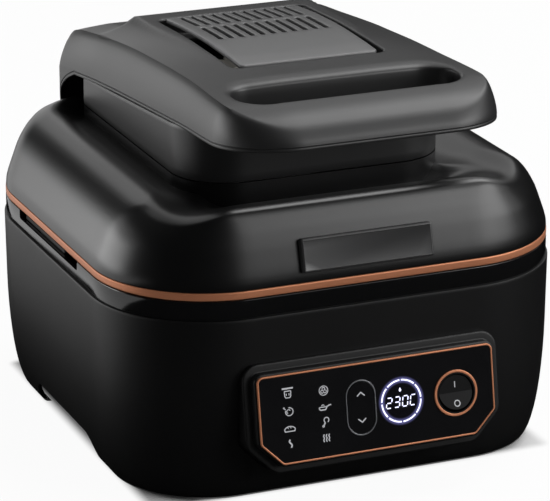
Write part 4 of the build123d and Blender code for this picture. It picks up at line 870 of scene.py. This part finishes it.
# Top cover. One dark grey moulding makes the roof of the lid, the handle bar with its finger
# slot at the front, the well round the vent plate, and the spine that runs down at the back.
COVER_BACK = 177.5
COVER_MID_HALF = 105.75
COVER_FRONT_R = 50.0
COVER_BACK_R = 15.0
COVER_WALL = 2.2
SPINE_LOW_Z = 166.0
SPINE_TOP_Z = 215.0
CREASE_IN = 8.0
BEAD = 3.6

lower_edge_drop = smooth_curve((134.0, 238.2), (142.0, 234.9), (150.0, 231.0), (156.0, 227.2),
                               (162.0, 222.0), (165.0, 217.6), (168.0, 212.0), (170.0, 206.5),
                               (171.6, 199.0), (172.3, SPINE_LOW_Z))
front_face = smooth_curve((0.0, 270.1), (0.6, 272.4), (2.5, 275.8), (7.0, 281.0), (14.5, 286.0),
                          (26.0, 290.2), (38.5, 292.0))
rear_face = smooth_curve((0.0, SPINE_TOP_Z), (1.0, 226.0), (3.0, 237.0), (7.0, 249.0), (13.0, 258.4),
                         (20.0, 265.9), (28.0, 271.6), (34.0, 273.2))
roof_line = smooth_curve((-199.5, 291.0), (-161.0, 292.2), (-120.0, 293.5), (-73.0, 293.3), (0.0, 293.5),
                         (78.0, 290.6), (98.5, 289.9), (101.0, 288.8), (107.5, 280.6), (110.5, 279.4),
                         (150.0, 272.6), (178.0, 268.0))
wall_share = smooth_curve((0.0, 0.0), (0.5, 0.17), (1.5, 0.38), (3.0, 0.6), (5.0, 0.82), (6.5, 0.93),
                          (8.0, 1.0))
half_width = smooth_curve((-199.5, 107.5), (-150.0, 107.4), (-80.0, 104.6), (42.0, 104.2), (90.0, 105.0),
                          (134.0, 108.0), (177.5, 110.0))
crease_z = smooth_curve((-199.5, 292.0), (-141.0, 291.8), (-110.0, 291.4), (-52.0, 289.6), (0.0, 286.5),
                        (23.0, 285.0), (96.0, 277.6), (145.0, 271.4), (178.0, 266.0))
fold_x = smooth_curve((-110.0, 30.0), (-75.0, 45.0), (-37.0, 62.0), (76.0, 72.0), (98.0, 72.0),
                      (178.0, 82.0))
fold_power = smooth_curve((-110.0, 2.0), (-75.0, 1.7), (-37.0, 1.0), (20.0, 0.62), (76.0, 0.5),
                          (96.0, 0.5), (112.0, 1.0))


def step_between(low, high, x):
    t = min(1.0, max(0.0, (x - low) / (high - low)))
    return t * t * (3 - 2 * t)


def lower_of(first, second, soft):
    """The lower of two heights, with a soft change from one to the other."""
    blend = max(soft - abs(first - second), 0.0) / soft
    return min(first, second) - blend * blend * soft / 4


def rounded_distance(x, y, half_w, front, back, radius):
    """How far a point is outside a rounded rectangle, with the direction out of it."""
    across = abs(x) - half_w + radius
    middle = (front + back) / 2
    along = abs(y - middle) - (back - front) / 2 + radius
    side_x = math.copysign(1.0, x)
    side_y = math.copysign(1.0, y - middle)
    if across > 0 and along > 0:
        length = math.hypot(across, along)
        return length - radius, side_x * across / length, side_y * along / length
    if across > along:
        return across - radius, side_x, 0.0
    return along - radius, 0.0, side_y


def cover_inset(x, y):
    """How far a point is inside the cover's outline, with the way out of it."""
    stretched = x * COVER_MID_HALF / half_width(y)
    radius = COVER_FRONT_R if y < 0 else COVER_BACK_R
    outside, nx, ny = rounded_distance(stretched, y, COVER_MID_HALF, COVER_FRONT, COVER_BACK, radius)
    return -outside, nx, ny


SLOT_HALF = 85.6
SLOT_FRONT = -162.0
SLOT_BACK = -114.5
SLOT_R = 21.0
WELL_HALF = 60.0
WELL_FRONT = -75.6
WELL_BACK = 80.6
WELL_R = 8.0
WELL_ROLL = 1.8


def rolled_edge(distance, width, depth):
    """How far a rolled-in edge has sunk at a distance outside the opening."""
    if distance >= width:
        return 0.0
    along = 1 - max(0.0, distance) / width
    return depth * (1 - math.sqrt(1 - along * along))


def slot_sink(x, y):
    outside, nx, ny = rounded_distance(x, y, SLOT_HALF, SLOT_FRONT, SLOT_BACK, SLOT_R)
    rear = ny * ny if ny > 0 else 0.0
    front = ny * ny if ny < 0 else 0.0
    end = nx * nx
    width = 11.0 * rear + 2.2 * front + 4.0 * end
    depth = 5.0 * rear + 1.8 * front + 2.5 * end
    return rolled_edge(outside, width, depth)


def roof_height(x, y):
    """Roof with its side drop, inside the crease."""
    roof = roof_line(y)
    fold = fold_x(y)
    reach = (abs(x) - fold) / (half_width(y) - CREASE_IN - fold)
    if reach <= 0:
        return roof
    power = fold_power(y)
    start = 0.03 ** power
    share = ((min(1.0, reach) + 0.03) ** power - start) / (1.03 ** power - start)
    return roof - (roof - crease_z(y)) * share


def cover_height(x, y):
    """Height of the cover's outside over a point in plan."""
    inset, nx, ny = cover_inset(x, y)
    behind = COVER_BACK - y
    roof = roof_height(x, y)
    crease = crease_z(y)
    rear = rear_face(behind) if behind < 34.0 else 400.0
    crease = lower_of(crease, rear, 6.0)
    roof = lower_of(roof, rear, 6.0)
    start = skirt_z(min(y, COVER_BACK)) + BEAD
    side = start + (crease - start) * wall_share(inset) if inset < CREASE_IN else roof
    if ny < 0:
        weight = ny * ny
        front = front_face(inset) if inset < 38.5 else roof
        height = side * (1 - weight) + min(front, roof + 0.4) * weight
    elif y > 100.0:
        weight = ny * ny
        corner = side * (1 - weight) + (rear_face(inset) if inset < 34.0 else roof) * weight
        height = corner + (side - corner) * step_between(7.0, 15.0, inset) if weight < 1 \
            else lower_of(roof, rear, 6.0)
        if weight == 1 and inset < 15.0:
            height = rear_face(inset)
    else:
        height = side
    outside, *_ = rounded_distance(x, y, WELL_HALF, WELL_FRONT, WELL_BACK, WELL_R)
    return height - slot_sink(x, y) - rolled_edge(outside, WELL_ROLL, WELL_ROLL)


COVER_STEPS = (22, 66, 26)


def cover_loop(inset):
    """Plan outline of the cover, moved inwards, widened a little towards the back."""
    loop = plan_loop(COVER_MID_HALF - inset, COVER_FRONT + inset, COVER_BACK - inset, COVER_FRONT_R - inset,
                     max(0.5, COVER_BACK_R - inset), COVER_STEPS)
    return [(x * half_width(y) / COVER_MID_HALF, y, nx, ny) for x, y, nx, ny in loop]


def lower_edge(y):
    return skirt_z(y) if y < NECK_BACK else lower_edge_drop(y)


def edge_row(inset, lift):
    """Row of the rolled bead that runs along the cover's lower edge."""
    outer = cover_loop(0.0)
    return [(x, y, lower_edge(oy) + lift) for (x, y, *_), (_, oy, *_) in zip(cover_loop(inset), outer)]


def upright_row(share):
    """Row of the straight part of the wall, which is tall only on the spine."""
    row = []
    for x, y, nx, ny in cover_loop(0.0):
        low = lower_edge(y) + BEAD
        weight = ny * ny if ny > 0 else 0.0
        high = max(low, (skirt_z(y) + BEAD) * (1 - weight) + SPINE_TOP_Z * weight)
        row.append((x, y, low + (high - low) * share))
    return row


def wall_row(inset):
    return [(x, y, cover_height(x, y)) for x, y, *_ in cover_loop(inset)]


def holed_sheet(mesh, outer, holes, rings, covers, spacing, height):
    """Triangles over an outline with holes, lifted to a height. Gives the rings of the outline and holes."""
    points, edges = [], []
    for loop in [outer] + holes + rings:
        start = len(points)
        points += [Vector((x, y)) for x, y in loop]
        edges += [(start + i, start + (i + 1) % len(loop)) for i in range(len(loop))]
    low_x, high_x = min(p.x for p in points), max(p.x for p in points)
    low_y, high_y = min(p.y for p in points), max(p.y for p in points)
    for i in range(int((high_x - low_x) / spacing) + 1):
        for j in range(int((high_y - low_y) / spacing) + 1):
            x, y = low_x + (i + 0.5 * (j % 2)) * spacing, low_y + j * spacing
            if covers(x, y, 0.6 * spacing):
                points.append(Vector((x, y)))
    found, _, faces, sources, *_ = delaunay_2d_cdt(points, edges, [], 0, 1e-5)
    verts = [mesh.verts.new(Vector((p.x, p.y, height(p.x, p.y))) * MM) for p in found]
    for face in faces:
        x = sum(found[i].x for i in face) / 3
        y = sum(found[i].y for i in face) / 3
        if covers(x, y, 0.0):
            mesh.faces.new([verts[i] for i in face])
    made = {source: vert for vert, merged in zip(verts, sources) for source in merged}
    result, start = [], 0
    for loop in [outer] + holes:
        result.append([made[start + i] for i in range(len(loop))])
        start += len(loop)
    return result


def opening_loop(half_w, front, back, radius, grow, steps):
    loop = plan_loop(half_w + grow, front - grow, back + grow, radius + grow, steps=steps)
    return [(x, y) for x, y, *_ in loop]


def slot_loop(grow):
    return opening_loop(SLOT_HALF, SLOT_FRONT, SLOT_BACK, SLOT_R, grow, (16, 1, 44))


def well_loop(grow):
    return opening_loop(WELL_HALF, WELL_FRONT, WELL_BACK, WELL_R, grow, (10, 40, 30))


CREASE_ROWS = (0.15, 0.4, 0.8, 1.4, 2.1, 3.0, 4.0, 5.2, 6.5, CREASE_IN)


def cover_covers(x, y, margin):
    inset, *_ = cover_inset(x, y)
    if inset < CREASE_IN + (margin + 1.5 if margin else 0.0):
        return False
    slot_out, *_ = rounded_distance(x, y, SLOT_HALF, SLOT_FRONT, SLOT_BACK, SLOT_R)
    well_out, *_ = rounded_distance(x, y, WELL_HALF, WELL_FRONT, WELL_BACK, WELL_R)
    return slot_out > (6.0 + margin if margin else 0.0) and well_out > (3.0 + margin if margin else 0.0)


cover = bmesh.new()
outline = [(x, y) for x, y, *_ in cover_loop(CREASE_IN)]
inner_rings = [slot_loop(g) for g in (0.2, 0.6, 1.3, 2.4, 4.0, 6.0)]
inner_rings += [well_loop(g) for g in (0.3, 0.8, 1.5, 3.0)]
inner_rings.append([(x, y) for x, y, *_ in cover_loop(9.5)])
cover_ring, slot_ring, well_ring = holed_sheet(
    cover, outline, [slot_loop(0.0), well_loop(0.0)], inner_rings, cover_covers, 3.6, cover_height)
below = cover_ring
wall_rows = [wall_row(inset) for inset in CREASE_ROWS[-2::-1]]
wall_rows += [upright_row(s) for s in (1.0, 0.8, 0.6, 0.4, 0.2, 0.0)]
wall_rows += [edge_row(inset, lift) for inset, lift in
              ((0.45, 3.1), (0.5, 2.6), (0.1, 2.2), (0.0, 1.6), (0.0, 0.9), (0.3, 0.25), (0.9, 0.0))]
for row in wall_rows:
    ring = add_ring(cover, row)
    bridge(cover, below, ring)
    below = ring
below = slot_ring
for grow, lift in ((-0.15, 24.0), (-0.35, 18.0), (-0.5, 12.0), (-0.6, 6.0), (-0.6, 1.2), (-0.3, 0.3)):
    loop = slot_loop(grow)
    rim = slot_loop(0.0)
    row = [(x, y, min(skirt_z(y) + lift, cover_height(rx, ry) - 0.3 - grow))
           for (x, y), (rx, ry) in zip(loop, rim)]
    ring = add_ring(cover, row)
    bridge(cover, below, ring)
    below = ring
below = well_ring
for grow, z in ((-0.05, 289.0), (-0.1, 285.0), (-0.4, 278.6), (-1.0, 277.6), (-1.6, 277.2), (-15.0, 277.2)):
    loop = opening_loop(WELL_HALF, WELL_FRONT, WELL_BACK, WELL_R, grow, (10, 40, 30)) if grow > -8 else \
        opening_loop(WELL_HALF, WELL_FRONT, WELL_BACK, 17.0, grow, (10, 40, 30))
    ring = add_ring(cover, [(x, y, z) for x, y in loop])
    bridge(cover, below, ring)
    below = ring
top_cover = thicken(new_object("top_cover_moulding", cover), COVER_WALL)
finish_piece(top_cover, cover_grey, "lid", "cover_grey", "lid_top_cover", sharp=42.0)
dress(cover_grey, "handle_lower_shell", edge=0.8)

# Vent plate. A lighter satin plate lies crowned in its well, with a bevelled rim and two rows of
# eleven slits that let the cooling air out.
VENT_HALF_W = 54.0
VENT_FRONT = -73.6
VENT_BACK = 78.0
VENT_R = 4.0
SLIT_COUNT = 11
SLIT_PITCH = 8.45
SLIT_HALF_W = 1.85
SLIT_HALF_L = 19.75
SLIT_ROWS = (58.0, 11.5)
vent_crown = smooth_curve((VENT_FRONT, 293.8), (-50.0, 295.1), (-9.0, 295.95), (35.0, 294.6),
                          (VENT_BACK, 291.2))


def vent_height(x, y):
    return vent_crown(y)


def vent_loop(inset):
    return opening_loop(VENT_HALF_W, VENT_FRONT, VENT_BACK, VENT_R, -inset, (8, 30, 24))


def slit_loop(x, y, grow):
    half_w, half_l = SLIT_HALF_W + grow, SLIT_HALF_L + grow
    loop = plan_loop(half_w, -half_l, half_l, half_w - 0.02, steps=(5, 10, 1))
    return [(x + px, y + py) for px, py, *_ in loop]


slit_places = [((i - (SLIT_COUNT - 1) / 2) * SLIT_PITCH, row) for row in SLIT_ROWS for i in range(SLIT_COUNT)]
SLIT_EDGE = 0.45
VENT_EDGE = 1.0


def vent_covers(x, y, margin):
    outside, *_ = rounded_distance(x, y, VENT_HALF_W - VENT_EDGE, VENT_FRONT + VENT_EDGE,
                                   VENT_BACK - VENT_EDGE, VENT_R - VENT_EDGE)
    if outside > -margin:
        return False
    for slit_x, slit_y in slit_places:
        half_w, half_l = SLIT_HALF_W + SLIT_EDGE, SLIT_HALF_L + SLIT_EDGE
        away, *_ = rounded_distance(x - slit_x, y - slit_y, half_w, -half_l, half_l, half_w - 0.02)
        if away < margin * 0.4:
            return False
    return True


vent = bmesh.new()
slit_holes = [slit_loop(x, y, SLIT_EDGE) for x, y in slit_places]
vent_rings = holed_sheet(vent, vent_loop(VENT_EDGE), slit_holes, [], vent_covers, 4.0, vent_height)
below = vent_rings[0]
for inset, drop in ((0.55, 0.12), (0.2, 0.4), (0.0, 1.0), (0.0, 1.8), (0.0, 2.6)):
    ring = add_ring(vent, [(x, y, vent_crown(y) - drop) for x, y in vent_loop(inset)])
    bridge(vent, below, ring)
    below = ring
for (slit_x, slit_y), rim in zip(slit_places, vent_rings[1:]):
    below = rim
    for grow, drop in ((0.2, 0.1), (0.05, 0.3), (0.0, 0.7), (0.0, 2.2)):
        ring = add_ring(vent, [(x, y, vent_crown(y) - drop) for x, y in slit_loop(slit_x, slit_y, grow)])
        bridge(vent, below, ring)
        below = ring
vent_plate = thicken(new_object("vent_plate", vent), 1.4)
vent_grey = moulded("vent_grey", (0.12, 0.12, 0.121, 1), 0.32, 1500.0, 0.00001, 0.04)
finish_piece(vent_plate, vent_grey, "lid", "cover_grey", "vent_grille")

# Underneath the lid. A pressed steel liner with a silicone seal faces the food. The heater
# spiral hangs from it on clips, round the guard of the hot-air fan.
seal_silicone = moulded("seal_silicone", (0.16, 0.16, 0.165, 1), 0.6, 400.0, 0.00004)
dress(liner_steel, "lid_liner", "fan_guard", "element_clips")
dress(seal_silicone, "lid_seal", edge=1.2)
dress(steel, "convection_fan", "motor_shaft", "lid_heat_shield", "motor_bracket", "lid_thermostat")

# Fan motor and the magnet that tells the base that the lid is shut, hidden in the lid.
motor_steel = sheet_steel("motor_steel", (0.4, 0.41, 0.42, 1), 0.38)
magnet_plate = plated("nickel_plate", (0.55, 0.54, 0.52, 1), (0.4, 0.39, 0.38, 1), 0.25)
dress(motor_steel, "fan_motor")
dress(magnet_plate, "lid_magnet")

# Studio. A white floor and backdrop, softboxes overhead, at the left and at the right, and black
# flags that keep the front of the black plastic dark. The camera stands where the photograph's did.
CAMERA_TARGET = Vector((0.003558, 0.0, 0.122923))
CAMERA_OFFSET = Vector((-0.36537, -0.87116, 0.32801)) * 2.428333
LENS = 209.45
FLOOR_SIZE = 20.0
# Half size and soft edge of a patch of painted shade on the floor under the base.
PAINTED_SHADE_HALF = (0.151, 0.152)
PAINTED_SHADE_SOFT = 0.012


def white_mask(tree):
    """1 for rays from the camera and for reflected and refracted ones."""
    path = tree.nodes.new("ShaderNodeLightPath")
    total = path.outputs["Is Camera Ray"]
    for name in ("Is Glossy Ray", "Is Transmission Ray"):
        adder = tree.nodes.new("ShaderNodeMath")
        adder.use_clamp = True
        tree.links.new(total, adder.inputs[0])
        tree.links.new(path.outputs[name], adder.inputs[1])
        total = adder.outputs[0]
    return total


floor_mesh = bmesh.new()
bmesh.ops.create_grid(floor_mesh, x_segments=4, y_segments=4, size=FLOOR_SIZE / 2)
floor = new_object("studio_floor", floor_mesh)
floor_white = Finish("floor_white", 0.9, 0.0, (0.8, 0.8, 0.8, 1))
# Painted shade: inside this patch under the base the floor's white glow is turned down almost to nothing, so
# the patch shows dark. The shading left there is the floor's real shadow.
beyond = []
for axis, half in enumerate(PAINTED_SHADE_HALF):
    along = floor_white.add("ShaderNodeSeparateXYZ", {}, {"Vector": floor_white.spot()}, axis)
    distance = floor_white.add("ShaderNodeMath", {"operation": "ABSOLUTE"}, {0: along}) - half
    beyond.append(floor_white.add("ShaderNodeMath", {"operation": "MAXIMUM"}, {0: distance, 1: 0.0}))
square = beyond[0] * beyond[0] + beyond[1] * beyond[1]
apart = floor_white.add("ShaderNodeMath", {"operation": "SQRT"}, {0: square})
glow_share_painted_shade = floor_white.add("ShaderNodeMapRange", {"interpolation_type": "SMOOTHSTEP"},
                             {0: apart, 1: 0.0, 2: PAINTED_SHADE_SOFT, 3: 0.01, 4: 0.95})
emission = floor_white.tree.nodes.new("ShaderNodeEmission")
emission.inputs["Strength"].default_value = 1.0
blend = floor_white.tree.nodes.new("ShaderNodeMixShader")
output = floor_white.tree.nodes["Material Output"]
mask = Value(floor_white, white_mask(floor_white.tree)) * glow_share_painted_shade
floor_white.tree.links.new(mask.socket, blend.inputs[0])
floor_white.tree.links.new(floor_white.shader.outputs[0], blend.inputs[1])
floor_white.tree.links.new(emission.outputs[0], blend.inputs[2])
floor_white.tree.links.new(blend.outputs[0], output.inputs["Surface"])
floor.data.materials.append(floor_white.material)

world = bpy.data.worlds.new("studio")
world.use_nodes = True
bpy.context.scene.world = world
tree = world.node_tree
background = tree.nodes["Background"]
background.inputs["Color"].default_value = (1, 1, 1, 1)
level = tree.nodes.new("ShaderNodeMapRange")
level.inputs["To Min"].default_value = 0.4
level.inputs["To Max"].default_value = 1.0
tree.links.new(white_mask(tree), level.inputs["Value"])
tree.links.new(level.outputs[0], background.inputs["Strength"])


def softbox(name, place, target, size, power):
    lamp = bpy.data.lights.new(name, "AREA")
    lamp.shape = "RECTANGLE"
    lamp.size, lamp.size_y = size
    lamp.energy = power
    thing = bpy.data.objects.new(name, lamp)
    bpy.context.scene.collection.objects.link(thing)
    thing.location = place
    thing.rotation_euler = (Vector(target) - Vector(place)).to_track_quat("-Z", "Y").to_euler()
    thing.visible_camera = False
    return thing


def compass(bearing, distance, height):
    """A place round the object, by its bearing from straight in front towards the right."""
    angle = math.radians(bearing)
    return Vector((distance * math.sin(angle), -distance * math.cos(angle), height))


flag_black = Finish("flag_black", 1.0, 0.0, (0.0, 0.0, 0.0, 1), Specular_IOR_Level=0.0)


def black_flag(name, points):
    """A black card that only reflections see."""
    mesh = bmesh.new()
    mesh.faces.new([mesh.verts.new(point) for point in points])
    thing = new_object(name, mesh)
    thing.data.materials.append(flag_black.material)
    thing.visible_camera = False
    thing.visible_diffuse = False
    thing.visible_shadow = False
    thing.visible_transmission = False


def standing_flag(name, start, end, low, high, distance=3.2):
    """An upright flag round the object between two bearings."""
    steps = max(2, int(abs(end - start) / 12))
    for i in range(steps):
        near = start + (end - start) * i / steps
        far = start + (end - start) * (i + 1) / steps
        black_flag(name + "_%d" % i, (compass(near, distance, low), compass(far, distance, low),
                                      compass(far, distance, high), compass(near, distance, high)))


standing_flag("front_flag", -100.0, 12.0, 0.0, 4.0)
standing_flag("rear_left_flag", -168.0, -100.0, 1.5, 4.0)
standing_flag("rear_gap_flag", -170.0, -150.0, 0.4, 1.5)
black_flag("front_sky_flag", ((-3.2, -3.2, 3.9), (1.2, -3.2, 3.9), (0.3, -0.2, 3.9), (-3.2, 0.6, 3.9)))
standing_flag("low_right_flag", 12.0, 84.0, 0.0, 0.36)
standing_flag("right_flag", 84.0, 165.0, 0.0, 1.6)
black_flag("floor_flag", ((-3.2, -3.2, 0.004), (3.2, -3.2, 0.004), (3.2, 3.2, 0.004), (0.3, 3.2, 0.004),
                          (-0.35, 0.0, 0.004), (-3.2, -0.8, 0.004)))
middle = Vector((0.0, 0.0, 0.2))
softbox("top_softbox", (1.1, 0.2, 2.1), middle, (1.2, 1.6), 27.0)
softbox("left_softbox", compass(-128.0, 2.6, 0.3), middle, (1.9, 0.7), 16.0)
softbox("right_softbox", compass(44.0, 2.6, 1.15), middle, (1.9, 1.5), 40.0)

camera_data = bpy.data.cameras.new("camera")
camera = bpy.data.objects.new("camera", camera_data)
bpy.context.scene.collection.objects.link(camera)
camera.location = CAMERA_TARGET + CAMERA_OFFSET
camera.rotation_euler = (-CAMERA_OFFSET).to_track_quat("-Z", "Y").to_euler()
camera_data.lens = LENS
camera_data.sensor_width = 36.0
camera_data.clip_end = 50.0
bpy.context.scene.camera = camera
bpy.context.scene.view_settings.view_transform = "Standard"
